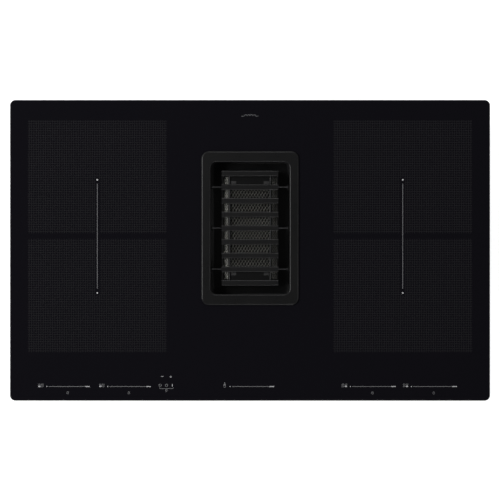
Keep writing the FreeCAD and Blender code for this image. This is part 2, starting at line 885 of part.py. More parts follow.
def make_well():
    body = new_body("well_housing")
    wall = S.well_wall
    outer_width, outer_depth = well_width + 2 * wall, well_depth + 2 * wall
    corner = S.mouth_corner
    shell = sketch_on(body, lift=well_foot)
    rounded_loop(shell, outer_width, outer_depth, corner + wall)
    pad(body, shell, well_top - well_foot)
    flange = sketch_on(body, lift=well_top - wall)
    rounded_loop(flange, outer_width + 2 * S.well_flange, outer_depth + 2 * S.well_flange, corner)
    pad(body, flange, wall)
    upper = sketch_on(body, lift=well_top)
    rounded_loop(upper, well_width, well_depth, corner)
    pocket(body, upper, well_top - ledge_top)
    ledge = sketch_on(body, lift=ledge_top)
    ledge_width = S.cassette_flange_width - 2 * S.ledge_lap
    ledge_depth = S.mouth_depth - 2 * S.cassette_flange_end_gap - 2 * S.ledge_lap
    rounded_loop(ledge, ledge_width, ledge_depth, S.cassette_flange_corner)
    pocket(body, ledge, S.ledge_thickness + S.cut_overrun)
    lower = sketch_on(body, lift=ledge_top - S.ledge_thickness)
    rounded_loop(lower, well_width, well_depth, corner)
    pocket(body, lower, ledge_top - S.ledge_thickness - well_floor)
    neck = sketch_on(body, lift=well_foot - S.neck_height)
    rounded_loop(neck, S.neck_width, S.neck_depth, S.neck_corner)
    inner_corner = S.neck_corner - S.neck_wall
    inner_width, inner_depth = S.neck_width - 2 * S.neck_wall, S.neck_depth - 2 * S.neck_wall
    rounded_loop(neck, inner_width, inner_depth, inner_corner)
    pad(body, neck, S.neck_height)
    drain = sketch_on(body, lift=well_floor + S.cut_overrun)
    round_loop(drain, S.drain_radius)
    pocket(body, drain, wall + 2 * S.cut_overrun)
    place(body, 0, mouth_y, 0)
    port_half = duct_width / 2 - S.duct_port_inset
    port = block(
        well_width / 2 - S.cut_overrun,
        well_outside + S.cut_overrun,
        blower_y - port_half,
        blower_y + port_half,
        casing_top + S.duct_port_inset,
        duct_top() - S.duct_port_inset,
    )
    PIECES.remove(body)
    body.Label = "well_shell"
    piece(cut(body, port), "well_housing")


def make_container():
    width = S.neck_width + 2 * S.container_seal_thickness + 2 * S.fit_gap
    depth = S.neck_depth + 2 * S.container_seal_thickness + 2 * S.fit_gap
    top = well_foot - S.container_top_gap
    wall = S.container_wall
    corner = S.container_corner
    body = new_body("drip_container")
    shell = sketch_on(body)
    rounded_loop(shell, width + 2 * wall, depth + 2 * wall, corner)
    pad(body, shell, S.container_height)
    inside = sketch_on(body, lift=S.container_height)
    rounded_loop(inside, width, depth, corner - wall)
    pocket(body, inside, S.container_height - wall)
    pull = sketch_on(body, lift=S.container_height - S.pull_thickness)
    half = depth / 2 + wall
    box_loop(pull, -S.pull_width / 2, S.pull_width / 2, -half - S.pull_reach, wall / 2 - half)
    pad(body, pull, S.pull_thickness)
    place(body, 0, mouth_y, top - S.container_height)
    ring(
        "container_seal",
        width,
        depth,
        corner - wall,
        S.container_seal_thickness,
        corner - wall - S.container_seal_thickness,
        S.container_seal_height,
        mouth_y,
        top - S.container_seal_drop - S.container_seal_height,
    )


# Duct and blower


def duct_top():
    return tray_foot - S.duct_top_gap


def make_duct():
    start = well_outside + S.duct_seal_thickness
    end = blower_x + eye_radius + S.duct_beyond_eye
    front, back = blower_y - duct_width / 2, blower_y + duct_width / 2
    top, wall = duct_top(), S.duct_wall
    shell = block(start, end, front, back, casing_top, top)
    inside = block(
        start - S.cut_overrun, end - wall, front + wall, back - wall, casing_top + wall, top - wall
    )
    eye = post(
        eye_radius,
        blower_x,
        blower_y,
        casing_top - S.cut_overrun,
        casing_top + wall + S.cut_overrun,
    )
    piece(cut(shell, inside, eye), "inlet_duct")
    frame = block(well_outside, start, front, back, casing_top, top)
    hole = block(
        well_outside - S.cut_overrun,
        start + S.cut_overrun,
        front + S.duct_port_inset,
        back - S.duct_port_inset,
        casing_top + S.duct_port_inset,
        top - S.duct_port_inset,
    )
    piece(cut(frame, hole), "duct_seal")


def volute_arcs():
    """Centre, radius and angles of the volute's four arcs about the blower's axis."""
    step, radius = float(S.volute_step), float(S.volute_radius)
    half = step / 2
    return (
        (Vector(-half, half, 0), radius, LEADING_ANGLE, 90),
        (Vector(-half, -half, 0), radius + step, 90, 180),
        (Vector(half, -half, 0), radius + 2 * step, 180, 270),
        (Vector(half, half, 0), radius + 3 * step, 270, 360),
    )


def volute_face(grow):
    """The volute's plan, with its straight discharge to the rear, widened all round."""
    edges = [arc_edge(*arc) for arc in volute_arcs()]
    wall_x = float(S.volute_step) / 2 + volute_arcs()[3][1]
    end_y = float(outlet_level - blower_y)
    tongue = edges[0].Vertexes[0].Point
    last = edges[-1].Vertexes[-1].Point
    right = Vector(wall_x, end_y, 0)
    left = Vector(wall_x - float(S.outlet_width), end_y, 0)
    for a, b in ((last, right), (right, left), (left, tongue)):
        edges.append(Part.LineSegment(a, b).toShape())
    wire = Part.Wire(Part.__sortEdges__(edges))
    if not grow:
        return Part.Face(wire)
    wide = Part.Face(wire.makeOffset2D(float(grow)))
    reach = float(S.outlet_width + S.volute_radius) * 2
    strip = Part.makeBox(2 * reach, reach, 2 * reach, Vector(-reach, end_y, -reach))
    return wide.cut(strip)


def slab(face, low, high):
    made = face.extrude(Vector(0, 0, float(high - low)))
    made.translate(Vector(0, 0, float(low)))
    return made


def upright(radius, x, y, low, high):
    return Part.makeCylinder(float(radius), float(high - low), Vector(float(x), float(y), float(low)))


def rim_screw_places():
    """Screws on the rim of the volute's joint, about the blower's axis."""
    out = float(S.casing_wall + S.rim_width / 2)
    places = []
    for centre, radius, start, stop in volute_arcs()[1:]:
        for share in rim_screw_shares:
            angle = math.radians(start + (stop - start) * share)
            places.append(centre + Vector(math.cos(angle), math.sin(angle), 0) * (radius + out))
    return places


def make_casing():
    inner, outer = volute_face(0), volute_face(S.casing_wall)
    rim = volute_face(S.casing_wall + S.rim_width)
    middle = casing_middle
    lower = slab(outer, casing_foot, middle).cut(slab(inner, casing_floor, middle + S.cut_overrun))
    lower = lower.fuse(slab(rim, middle - S.rim_thickness, middle).cut(slab(inner, casing_foot, casing_top)))
    upper = slab(outer, middle, casing_top).cut(slab(inner, middle - S.cut_overrun, casing_roof))
    upper = upper.fuse(slab(rim, middle, middle + S.rim_thickness).cut(slab(inner, casing_foot, casing_top)))
    upper = upper.cut(upright(eye_radius, 0, 0, casing_roof - S.cut_overrun, casing_top + S.cut_overrun))
    holes = [upright(S.screw_radius, p.x, p.y, casing_foot, casing_top) for p in rim_screw_places()]
    holes = Part.makeCompound(holes)
    x, y = blower_x, blower_y
    shaped("blower_casing_lower", lower.cut(holes).removeSplitter(), x, y)
    shaped("blower_casing_upper", upper.cut(holes).removeSplitter(), x, y)
    screws = []
    top = middle + S.rim_thickness
    for place_of in rim_screw_places():
        px, py = place_of.x + x, place_of.y + y
        shank = post(S.screw_radius, px, py, middle - S.rim_thickness, top)
        head = post(S.screw_head_radius, px, py, top, top + S.screw_head_height)
        screws.append(fuse(shank, head))
    piece(group(*screws), "casing_screws")


def make_inlet_ring():
    neck = eye_radius - S.fit_gap
    bore = neck - S.eye_ring_wall
    top = S.duct_wall + S.eye_ring_flange_thickness
    flange = neck + S.eye_ring_flange
    body = new_body("inlet_ring")
    turned(
        body,
        (
            (bore, -S.casing_wall - S.eye_ring_depth),
            (neck, -S.casing_wall - S.eye_ring_depth),
            (neck, S.duct_wall),
            (flange, S.duct_wall),
            (flange, top),
            (bore + S.eye_ring_wall, top),
            (bore, top - S.eye_ring_flange_thickness - S.duct_wall),
        ),
    )
    place(body, blower_x, blower_y, casing_top)


def make_outlet_flange():
    wall_x = blower_x + S.volute_radius + 3 * S.volute_step + S.volute_step / 2
    left, right = wall_x - S.outlet_width, wall_x
    front, back = outlet_level, outlet_level + S.outlet_flange_thickness
    low, high = casing_foot - S.outlet_flange_lip, casing_top + S.outlet_flange_lip
    ear = S.outlet_flange_ear
    plate = block(left - ear, right + ear, front, back, low, high)
    opening = block(
        left, right, front - S.cut_overrun, back + S.cut_overrun, casing_floor, casing_roof
    )
    holes = []
    for x in (left - S.outlet_hole_inset - S.casing_wall, right + S.outlet_hole_inset + S.casing_wall):
        for z in (casing_middle - S.outlet_hole_spacing / 2, casing_middle + S.outlet_hole_spacing / 2):
            start, stop = front - S.cut_overrun, back + S.cut_overrun
            holes.append(bar_y(S.outlet_hole_radius, x, start, stop, z))
    piece(cut(plate, opening, *holes), "outlet_flange")


def hanger_places():
    side, corner = S.volute_radius * front_hanger_share, S.volute_radius * corner_hanger_share
    front = blower_y - duct_width / 2 - S.hanger_duct_gap
    return (
        (blower_x - side, front),
        (blower_x + side, front),
        (blower_x + corner, outlet_level - S.hanger_corner_gap),
        (blower_x, outlet_level - S.hanger_outlet_gap),
    )


def make_hangers():
    studs, bushes = [], []
    for x, y in hanger_places():
        studs.append(post(S.hanger_radius, x, y, casing_top + S.hanger_bush_height, tray_foot))
        bushes.append(post(S.hanger_bush_radius, x, y, casing_top, casing_top + S.hanger_bush_height))
    piece(group(*studs), "hanger_studs")
    return bushes


def impeller_levels():
    foot = casing_floor + S.impeller_floor_gap
    top = casing_roof - S.impeller_roof_gap
    return foot, top


def blade_shape(low, high):
    """One forward curved blade between two arcs of the same bow."""
    inner, outer = float(blade_inner_radius), float(impeller_radius)
    bow, thick = float(S.blade_bow_radius), float(S.blade_thickness)
    start, end = Vector(inner, 0, 0), Vector(outer, 0, 0)
    half = (outer - inner) / 2
    sag = bow - math.sqrt(bow * bow - half * half)
    middle = Vector(inner + half, -sag, 0)
    offset = Vector(0, thick, 0)
    edges = [
        Part.Arc(start, middle, end).toShape(),
        Part.LineSegment(end, end + offset).toShape(),
        Part.Arc(end + offset, middle + offset, start + offset).toShape(),
        Part.LineSegment(start + offset, start).toShape(),
    ]
    return slab(Part.Face(Part.Wire(edges)), low, high)


def make_impeller():
    foot, top = impeller_levels()
    x, y = blower_x, blower_y
    plate, dome, rise = S.impeller_plate, S.motor_radius + S.dome_motor_gap, S.dome_rise
    body = new_body("impeller_backplate")
    turned(
        body,
        (
            (S.shaft_radius, rise - plate - S.hub_height),
            (S.hub_radius, rise - plate - S.hub_height),
            (S.hub_radius, rise - plate),
            (dome - plate, rise - plate),
            (dome - plate, 0),
            (impeller_radius, 0),
            (impeller_radius, plate),
            (dome, plate),
            (dome, rise),
            (S.shaft_radius, rise),
        ),
    )
    place(body, x, y, foot)
    inner = impeller_radius - S.impeller_ring_width
    disc = upright(impeller_radius, 0, 0, top - plate, top)
    parts = [disc.cut(upright(inner, 0, 0, top - plate, top))]
    blade = blade_shape(foot + plate, top - plate)
    for index in range(BLADES):
        copy = blade.copy()
        copy.rotate(Vector(), Vector(0, 0, 1), 360 * index / BLADES)
        parts.append(copy)
    shaped("impeller_blades", Part.makeCompound(parts), x, y)


def make_motor():
    foot = impeller_levels()[0]
    x, y = blower_x, blower_y
    base = casing_floor + S.bush_height
    roof = base + S.motor_height
    wall, seat = S.motor_wall, S.bearing_radius
    clear = S.shaft_radius + S.fit_gap
    boss = seat + wall
    body = new_body("motor_housing")
    turned(
        body,
        (
            (clear, 0),
            (S.motor_radius, 0),
            (S.motor_radius, S.motor_height),
            (clear, S.motor_height),
            (clear, S.motor_height - wall),
            (seat, S.motor_height - wall),
            (seat, S.motor_height - wall - S.bearing_width),
            (boss, S.motor_height - wall - S.bearing_width),
            (boss, S.motor_height - wall),
            (S.motor_radius - wall, S.motor_height - wall),
            (S.motor_radius - wall, wall),
            (boss, wall),
            (boss, wall + S.bearing_width),
            (seat, wall + S.bearing_width),
            (seat, wall),
            (clear, wall),
        ),
    )
    place(body, x, y, base)
    bore = S.shaft_radius + S.shaft_fit
    bearings = []
    for low in (base + wall, roof - wall - S.bearing_width):
        outer = post(seat, x, y, low, low + S.bearing_width)
        hole = post(bore, x, y, low - S.cut_overrun, low + S.bearing_width + S.cut_overrun)
        bearings.append(cut(outer, hole))
    piece(group(*bearings), "motor_bearings")
    middle = (base + roof) / 2
    low, high = middle - S.stator_height / 2, middle + S.stator_height / 2
    ring_out = post(S.motor_radius - wall, x, y, low, high)
    ring_in = post(S.stator_bore, x, y, low - S.cut_overrun, high + S.cut_overrun)
    piece(cut(ring_out, ring_in), "motor_stator")
    low, high = middle - S.rotor_height / 2, middle + S.rotor_height / 2
    core = post(S.stator_bore - S.rotor_gap, x, y, low, high)
    hole = post(S.shaft_radius, x, y, low - S.cut_overrun, high + S.cut_overrun)
    piece(cut(core, hole), "motor_rotor")
    shaft_top = foot + S.dome_rise
    piece(post(S.shaft_radius, x, y, base + wall / 2, shaft_top), "motor_shaft")
    bushes = make_hangers()
    for index in range(MOTOR_BUSHES):
        turn = math.radians(FIRST_BUSH_ANGLE + 360 * index / MOTOR_BUSHES)
        bx, by = x + S.bush_circle * math.cos(turn), y + S.bush_circle * math.sin(turn)
        bushes.append(post(S.bush_radius, bx, by, casing_floor, base))
    piece(group(*bushes), "rubber_bushes")


# Tray, brackets and clips


def bracket_places():
    """Centre along the wall and the wall's side, for the front and the back."""
    spreads = ((-1, S.bracket_front_spread), (1, S.bracket_rear_spread))
    return [(x, side) for side, spread in spreads for x in (-spread, spread)]


def make_tray():
    body = new_body("tray_shell")
    box = sketch_on(body)
    rounded_loop(box, tray_width, tray_depth, S.tray_corner)
    pad(body, box, S.tray_height)
    inside = sketch_on(body, lift=S.tray_height)
    corner = S.tray_corner - S.sheet
    rounded_loop(inside, tray_width - 2 * S.sheet, tray_depth - 2 * S.sheet, corner)
    pocket(body, inside, S.tray_height - S.sheet)
    floor = sketch_on(body, lift=S.sheet + S.cut_overrun)
    gap = S.tray_well_gap + S.well_wall
    width, depth = well_width + 2 * gap, well_depth + 2 * gap
    rounded_loop(floor, width, depth, S.mouth_corner, 0, mouth_y)
    round_loop(floor, S.gland_radius, S.terminal_right, terminal_y())
    pocket(body, floor, S.sheet + 2 * S.cut_overrun)
    half, wide = S.vent_slot_length / 2, S.vent_slot_width / 2
    slots = sketch_on(body, lift=S.sheet + S.cut_overrun)
    run = (VENT_SLOTS - 1) * S.vent_slot_pitch
    y = -run / 2 - fan_front
    for x in (-zone_x, zone_x):
        box_loop(slots, x - half, x + half, y - wide, y + wide)
    first = pocket(body, slots, S.sheet + 2 * S.cut_overrun)
    repeat(body, first, slots, "V_Axis", run, VENT_SLOTS)
    rear = sketch_on(body, "XZ_Plane", lift=(S.sheet - tray_depth) / 2)
    run = (SIDE_SLOTS - 1) * S.side_slot_pitch
    low, wide = (S.tray_height - S.side_slot_length) / 2, S.side_slot_width / 2
    for side in (-1, 1):
        x = side * zone_x - run / 2
        box_loop(rear, x - wide, x + wide, low, low + S.side_slot_length)
    first = pocket(body, rear, S.sheet + 2 * S.cut_overrun, both=True)
    repeat(body, first, rear, "H_Axis", run, SIDE_SLOTS)
    place(body, 0, 0, tray_foot)
    PIECES.remove(body)
    holes = []
    level = under_glass - S.bracket_screw_drop
    for x, side in bracket_places():
        wall = tray_depth / 2
        start, stop = wall - S.sheet - S.cut_overrun, wall + S.cut_overrun
        low, high = (start, stop) if side > 0 else (-stop, -start)
        holes.append(bar_y(S.screw_radius, x, low, high, level))
    for x0, x1, y, z in clip_screw_places():
        holes.append(bar_x(S.screw_radius, x0, x1, y, z))
    piece(cut(body, *holes), "tray")


def make_brackets():
    brackets, screws = [], []
    inner = tray_depth / 2 - S.sheet
    half, leg, thick = S.bracket_length / 2, S.bracket_leg, S.bracket_sheet
    level = under_glass - S.bracket_screw_drop
    for x, side in bracket_places():
        low, high = (inner - thick, inner) if side > 0 else (-inner, thick - inner)
        down = block(x - half, x + half, low, high, under_glass - leg, under_glass)
        low, high = (inner - leg, inner) if side > 0 else (-inner, leg - inner)
        across = block(x - half, x + half, low, high, under_glass - thick, under_glass)
        start, stop = inner - thick, inner + S.sheet
        head_end = stop + S.screw_head_height
        low, high = (start, stop) if side > 0 else (-stop, -start)
        hole = bar_y(S.screw_radius, x, low, high, level)
        brackets.append(cut(fuse(down, across), hole))
        shank = bar_y(S.screw_radius, x, low, high, level)
        low, high = (stop, head_end) if side > 0 else (-head_end, -stop)
        head = bar_y(S.screw_head_radius, x, low, high, level)
        screws.append(fuse(shank, head))
    piece(group(*brackets), "tray_brackets")
    piece(group(*screws), "tray_screws")


def clip_screw_places():
    """Start, end, Y and Z of each worktop clip's screw."""
    places = []
    wall = tray_width / 2
    level = under_glass - S.clip_top_drop - S.clip_height + S.clip_height * clip_screw_share
    for y in (-S.clip_spread, S.clip_spread):
        places.append((wall - S.sheet, wall + S.clip_sheet, y, level))
        places.append((-wall - S.clip_sheet, S.sheet - wall, y, level))
    return places


def make_clips():
    wall, thick = tray_width / 2, S.clip_sheet
    top = under_glass - S.clip_top_drop
    foot = top - S.clip_height
    bend, belly = foot + S.clip_height * clip_bend_share, foot + S.clip_height * clip_belly_share
    out = S.clip_bulge
    profile = (
        (wall, foot),
        (wall + thick, foot),
        (wall + thick, bend),
        (wall + out, belly),
        (wall + thick, top),
        (wall, top),
        (wall + out - thick, belly),
        (wall, bend),
    )
    clips, screws = [], []
    for y in (-S.clip_spread, S.clip_spread):
        for side in (-1, 1):
            points = [Vector(side * float(x), float(y - S.clip_width / 2), float(z)) for x, z in profile]
            face = Part.Face(Part.makePolygon(points + points[:1]))
            strip = face.extrude(Vector(0, float(S.clip_width), 0))
            clips.append(strip)
    bores = []
    for x0, x1, y, z in clip_screw_places():
        start = Vector(float(x0), float(y), float(z))
        bores.append(Part.makeCylinder(float(S.screw_radius), float(x1 - x0), start, Vector(1, 0, 0)))
        shank = bar_x(S.screw_radius, x0, x1, y, z)
        if x0 > 0:
            head = bar_x(S.screw_head_radius, x1, x1 + S.screw_head_height, y, z)
        else:
            head = bar_x(S.screw_head_radius, x0 - S.screw_head_height, x0, y, z)
        screws.append(fuse(shank, head))
    bored = [clip.cut(Part.makeCompound(bores)) for clip in clips]
    shaped("worktop_clips", Part.makeCompound([solid for clip in bored for solid in clip.Solids]))
    piece(group(*screws), "clip_screws")


# Coils, carriers and springs

ZONES = {
    "rear_left": (-1, zone_back),
    "rear_right": (1, zone_back),
    "front_left": (-1, -zone_front),
    "front_right": (1, -zone_front),
}


def make_coils():
    sheets, ferrites, sensors = [], [], []
    for name, (side, y) in ZONES.items():
        x = side * zone_x
        body = new_body(f"coil_{name}")
        sketch = sketch_on(body)
        rounded_loop(sketch, coil_width, coil_depth, S.coil_corner)
        rounded_loop(sketch, S.coil_eye_width, S.coil_eye_depth, S.coil_eye_corner)
        pad(body, sketch, S.coil_thickness)
        place(body, x, y, coil_foot)
        half, deep = coil_width / 2 + S.mica_margin, coil_depth / 2 + S.mica_margin
        sheets.append(block(x - half, x + half, y - deep, y + deep, mica_foot, under_glass))
        sensors.append(post(S.sensor_radius, x, y, carrier_top, mica_foot))
        long_way = (S.coil_eye_width / 2, S.coil_eye_width / 2 + S.ferrite_length)
        wide = S.ferrite_width / 2
        for shift in (-S.coil_eye_depth / 2, S.coil_eye_depth / 2):
            for start, stop in (long_way, (-long_way[1], -long_way[0])):
                low, high = y + shift - wide, y + shift + wide
                ferrites.append(block(x + start, x + stop, low, high, carrier_top, coil_foot))
        deep_way = (S.coil_eye_depth / 2 + S.ferrite_width, coil_depth / 2 - S.ferrite_width / 2)
        for start, stop in (deep_way, (-deep_way[1], -deep_way[0])):
            ferrites.append(block(x - wide, x + wide, y + start, y + stop, carrier_top, coil_foot))
    piece(group(*sheets), "mica_sheets")
    piece(group(*sensors), "temperature_sensors")
    piece(group(*ferrites), "ferrite_bars")


def carrier_frame(side):
    """Centre and half sizes of one coil carrier."""
    x = side * zone_x
    y = (zone_back - zone_front) / 2
    half = coil_width / 2 + S.carrier_margin
    deep = (zone_back + zone_front) / 2 + coil_depth / 2 + S.carrier_margin
    return x, y, half, deep


def make_carriers():
    strips = []
    carriers = new_body("coil_carriers")
    sketch = sketch_on(carriers)
    for side in (-1, 1):
        x, y, half, deep = carrier_frame(side)
        rounded_loop(sketch, 2 * half, 2 * deep, S.carrier_corner, x, y)
    pad(carriers, sketch, S.carrier_sheet)
    place(carriers, 0, 0, carrier_foot)
    for side in (-1, 1):
        x, y, half, deep = carrier_frame(side)
        rise, thick = carrier_foot - tray_deck, S.leaf_sheet
        foot, lean = S.leaf_foot, S.leaf_lean
        profile = (
            (0, 0),
            (foot, 0),
            (foot + lean, rise - thick),
            (foot + lean + foot, rise - thick),
            (foot + lean + foot, rise),
            (foot + lean - thick, rise),
            (foot - thick, thick),
            (0, thick),
        )
        for across in (-1, 1):
            left = x + across * (half - S.leaf_width) - S.leaf_width / 2
            for along in (-1, 1):
                points = []
                for v, z in profile:
                    py = y + along * (deep - S.leaf_width) - along * v
                    points.append(Vector(float(left), float(py), float(tray_deck + z)))
                face = Part.Face(Part.makePolygon(points + points[:1]))
                strips.append(face.extrude(Vector(float(S.leaf_width), 0, 0)))
    shaped("carrier_springs", Part.makeCompound(strips))


# Power boards, heat sinks and cooling fans


def make_boards():
    boards, posts, capacitors = [], [], []
    sinks = new_body("heat_sinks")
    section = sketch_on(sinks, "XZ_Plane")
    for side in (-1, 1):
        x, y = side * zone_x, power_board_y
        half, deep = power_board_width / 2, power_board_depth / 2
        boards.append(block(x - half, x + half, y - deep, y + deep, board_foot, board_top))
        for px in (x - half + S.post_inset, x + half - S.post_inset):
            for py in (y - deep + S.post_inset, y + deep - S.post_inset):
                posts.append(post(S.post_radius, px, py, tray_deck, board_foot))
        for index in range(CAPACITORS):
            cx = x + side * S.capacitor_offset
            cy = y + (index - (CAPACITORS - 1) / 2) * S.capacitor_pitch
            wide, long_half = S.capacitor_width / 2, S.capacitor_depth / 2
            top = board_top + S.capacitor_height
            capacitors.append(
                block(cx - wide, cx + wide, cy - long_half, cy + long_half, board_top, top)
            )
        polygon_loop(section, comb_outline(x))
    piece(group(*boards), "power_boards")
    pad(sinks, section, power_board_depth - 2 * S.sink_end_gap, both=True)
    place(sinks, 0, power_board_y, board_top)
    x, y = -S.mains_board_left, mains_board_y()
    half, deep = S.mains_board_width / 2, S.mains_board_depth / 2
    piece(block(x - half, x + half, y - deep, y + deep, board_foot, board_top), "mains_board")
    for px in (x - half + S.post_inset, x + half - S.post_inset):
        for py in (y - deep + S.post_inset, y + deep - S.post_inset):
            posts.append(post(S.post_radius, px, py, tray_deck, board_foot))
    piece(group(*posts), "board_posts")
    piece(group(*capacitors), "capacitors")


def comb_outline(x):
    """A heat sink's section about its middle: fins that rise from a base."""
    half = S.sink_width / 2
    gap = (S.sink_width - S.sink_fin) / (SINK_FINS - 1)
    points = [(x - half, 0), (x + half, 0)]
    for index in reversed(range(SINK_FINS)):
        left = x + index * gap - half
        right = left + S.sink_fin
        if index < SINK_FINS - 1:
            points.append((right, S.sink_base))
        points.append((right, S.sink_height))
        points.append((left, S.sink_height))
        if index:
            points.append((left, S.sink_base))
    return points


def make_fans():
    frames = new_body("fan_housings")
    outline = sketch_on(frames)
    struts = [sketch_on(frames), sketch_on(frames)]
    hub, tube = sketch_on(frames), sketch_on(frames)
    bore = sketch_on(frames, lift=S.fan_base + S.fan_post_height)
    wide, reach = S.fan_strut / 2, S.fan_bore + S.fan_strut_lap
    for name, side in (("left", -1), ("right", 1)):
        x = side * zone_x
        rounded_loop(outline, S.fan_size, S.fan_size, S.fan_corner, x, 0)
        round_loop(outline, S.fan_bore, x, 0)
        box_loop(struts[0], x - reach, x + reach, -wide, wide)
        box_loop(struts[1], x - wide, x + wide, -reach, reach)
        round_loop(hub, S.fan_hub, x, 0)
        round_loop(tube, S.fan_post_radius, x, 0)
        round_loop(bore, S.fan_pin_radius + S.fan_pin_fit, x, 0)
        shaped(f"fan_rotor_{name}", rotor_shape(), x, -fan_front, tray_deck)
    pad(frames, outline, S.fan_height)
    pad(frames, struts[0], S.fan_base)
    pad(frames, struts[1], S.fan_base)
    pad(frames, hub, S.fan_base)
    pad(frames, tube, S.fan_base + S.fan_post_height)
    pocket(frames, bore, S.fan_post_height)
    place(frames, 0, -fan_front, tray_deck)


def rotor_shape():
    """Cup, pin and blades of a cooling fan, about its axis."""
    low = float(S.fan_base + S.fan_cup_gap)
    high = float(S.fan_height - S.fan_cup_gap)
    cup, wall = float(S.fan_hub), float(S.fan_cup_wall)
    parts = [
        upright(cup, 0, 0, low, high).cut(upright(cup - wall, 0, 0, low, high - wall)),
        upright(S.fan_pin_radius, 0, 0, low, high),
    ]
    chord, thick = float(S.fan_blade_chord), float(S.fan_blade_thickness)
    reach = float(S.fan_bore - S.fan_tip_gap) - cup + wall / 2
    blade = Part.makeBox(reach, chord, thick, Vector(0, -chord / 2, -thick / 2))
    blade.rotate(Vector(), Vector(1, 0, 0), FAN_BLADE_TILT)
    blade.translate(Vector(cup - wall / 2, 0, (low + high) / 2))
    for index in range(FAN_BLADES):
        copy = blade.copy()
        copy.rotate(Vector(), Vector(0, 0, 1), 360 * index / FAN_BLADES)
        parts.append(copy)
    outer = upright(S.fan_bore - S.fan_tip_gap, 0, 0, low, high)
    return parts[0].fuse(parts[1:]).common(outer).removeSplitter()


# Touch controls


def touch_spans():
    """Ends of the three touch boards along X."""
    middle = S.touch_centre_length / 2
    inner = middle + S.touch_between
    return ((-touch_reach, -inner), (-middle, middle), (inner, touch_reach))


def make_touch():
    board_low = under_glass - S.touch_board_drop - S.board_thickness
    board_high = board_low + S.board_thickness
    wall, gap = S.touch_carrier_wall, S.touch_carrier_gap
    front = S.sheet + gap + wall + gap - tray_depth / 2
    back = front + S.touch_board_depth
    low = board_low - wall
    boards, carriers, pads = [], [], []
    for left, right in touch_spans():
        boards.append(block(left, right, front, back, board_low, board_high))
        edge = gap + wall
        outer = block(left - edge, right + edge, front - edge, back + edge, low, board_high)
        high = board_high + S.cut_overrun
        inner = block(left - gap, right + gap, front - gap, back + gap, board_low, high)
        legs = []
        for start in (left, right - S.touch_leg_width):
            stop = start + S.touch_leg_width
            legs.append(block(start, stop, front, front + S.touch_leg_width, tray_deck, low))
        carriers.append(fuse(cut(outer, inner), *legs))
    piece(group(*boards), "touch_boards")
    piece(group(*carriers), "touch_carriers")
    y = (front + back) / 2
    for (left, right), keys, sliders in zip(touch_spans(), key_shares, slider_shares):
        shares = list(keys)
        for first, last in sliders:
            shares += [first + (last - first) * index / (SLIDER_PADS - 1) for index in range(SLIDER_PADS)]
        for share in shares:
            pads.append(post(S.pad_radius, left + (right - left) * share, y, board_high, under_glass))
    piece(group(*pads), "touch_pads")


# Mains input and wiring


def mains_board_y():
    back = tray_depth / 2 - S.sheet - S.terminal_back_gap
    return back - S.mains_board_depth / 2


def terminal_y():
    back = tray_depth / 2 - S.sheet - S.terminal_back_gap
    return back - S.terminal_depth / 2


def make_mains():
    x, y = S.terminal_right, terminal_y()
    half, deep = S.terminal_width / 2, S.terminal_depth / 2
    low = tray_deck + S.gland_nut_height + S.gland_nut_gap
    high = low + S.terminal_height
    holes = []
    for index in range(TERMINALS):
        hx = x + (index - (TERMINALS - 1) / 2) * S.terminal_width / TERMINALS
        foot, lip = high - S.terminal_height / 2, high + S.cut_overrun
        holes.append(post(S.terminal_hole_radius, hx, y - deep / 2, foot, lip))
    top = block(x - half, x + half, y - deep, y + deep, low, high)
    feet = []
    for fx in (x - half, x + half - S.gland_nut_height):
        feet.append(block(fx, fx + S.gland_nut_height, y - deep, y + deep, tray_deck, low))
    piece(fuse(cut(top, *holes), *feet), "terminal_block")
    gap, wall = S.cover_gap, S.cover_wall
    outer = block(
        x - half - gap - wall, x + half + gap + wall, y - deep - gap - wall, y + deep + gap + wall,
        tray_deck, high + gap + wall,
    )
    inner = block(
        x - half - gap, x + half + gap, y - deep - gap, y + deep + gap,
        tray_deck - S.cut_overrun, high + gap,
    )
    piece(cut(outer, inner), "terminal_cover")
    body = new_body("cable_gland")
    bore, out = S.gland_bore, S.gland_radius
    turned(
        body,
        (
            (bore, -S.gland_length),
            (out - S.cover_wall, -S.gland_length),
            (out - S.cover_wall, -S.gland_nut_height),
            (S.gland_nut_radius, -S.gland_nut_height),
            (S.gland_nut_radius, 0),
            (out, 0),
            (out, S.sheet),
            (S.gland_lock_radius, S.sheet),
            (S.gland_lock_radius, S.sheet + S.gland_nut_height),
            (bore, S.sheet + S.gland_nut_height),
        ),
    )
    place(body, x, y, tray_foot)


def make_wiring():
    """Leads that lie on the tray's floor between the mains input and the boards."""
    level = float(tray_deck + S.lead_radius)
    y = float(mains_board_y())
    board_x = float(zone_x - power_board_width / 2)
    board_y = y - float(S.lead_run)
    left = float(-S.mains_board_left - S.mains_board_width / 2)
    turn_x = (left - board_x) / 2
    points = (
        Vector(left, y, level),
        Vector(turn_x, y, level),
        Vector(turn_x, board_y, level),
        Vector(-board_x, board_y, level),
    )
    leads = [tube_along(points, S.lead_radius, S.lead_bend)]
    edge = S.terminal_width / 2 + S.cover_gap + S.cover_wall
    cover_front = float(terminal_y() - S.terminal_depth / 2 - S.cover_gap - S.cover_wall)
    middle = float(S.terminal_right)
    points = (
        Vector(middle, cover_front, level),
        Vector(middle, board_y, level),
        Vector(board_x, board_y, level),
    )
    leads.append(tube_along(points, S.lead_radius, S.lead_bend))
    start = float(S.mains_board_width / 2 - S.mains_board_left)
    length = float(S.terminal_right - edge) - start
    lead = Part.makeCylinder(float(S.lead_radius), length, Vector(start, y, level), Vector(1, 0, 0))
    leads.append(lead)
    shaped("wire_harness", Part.makeCompound(leads))


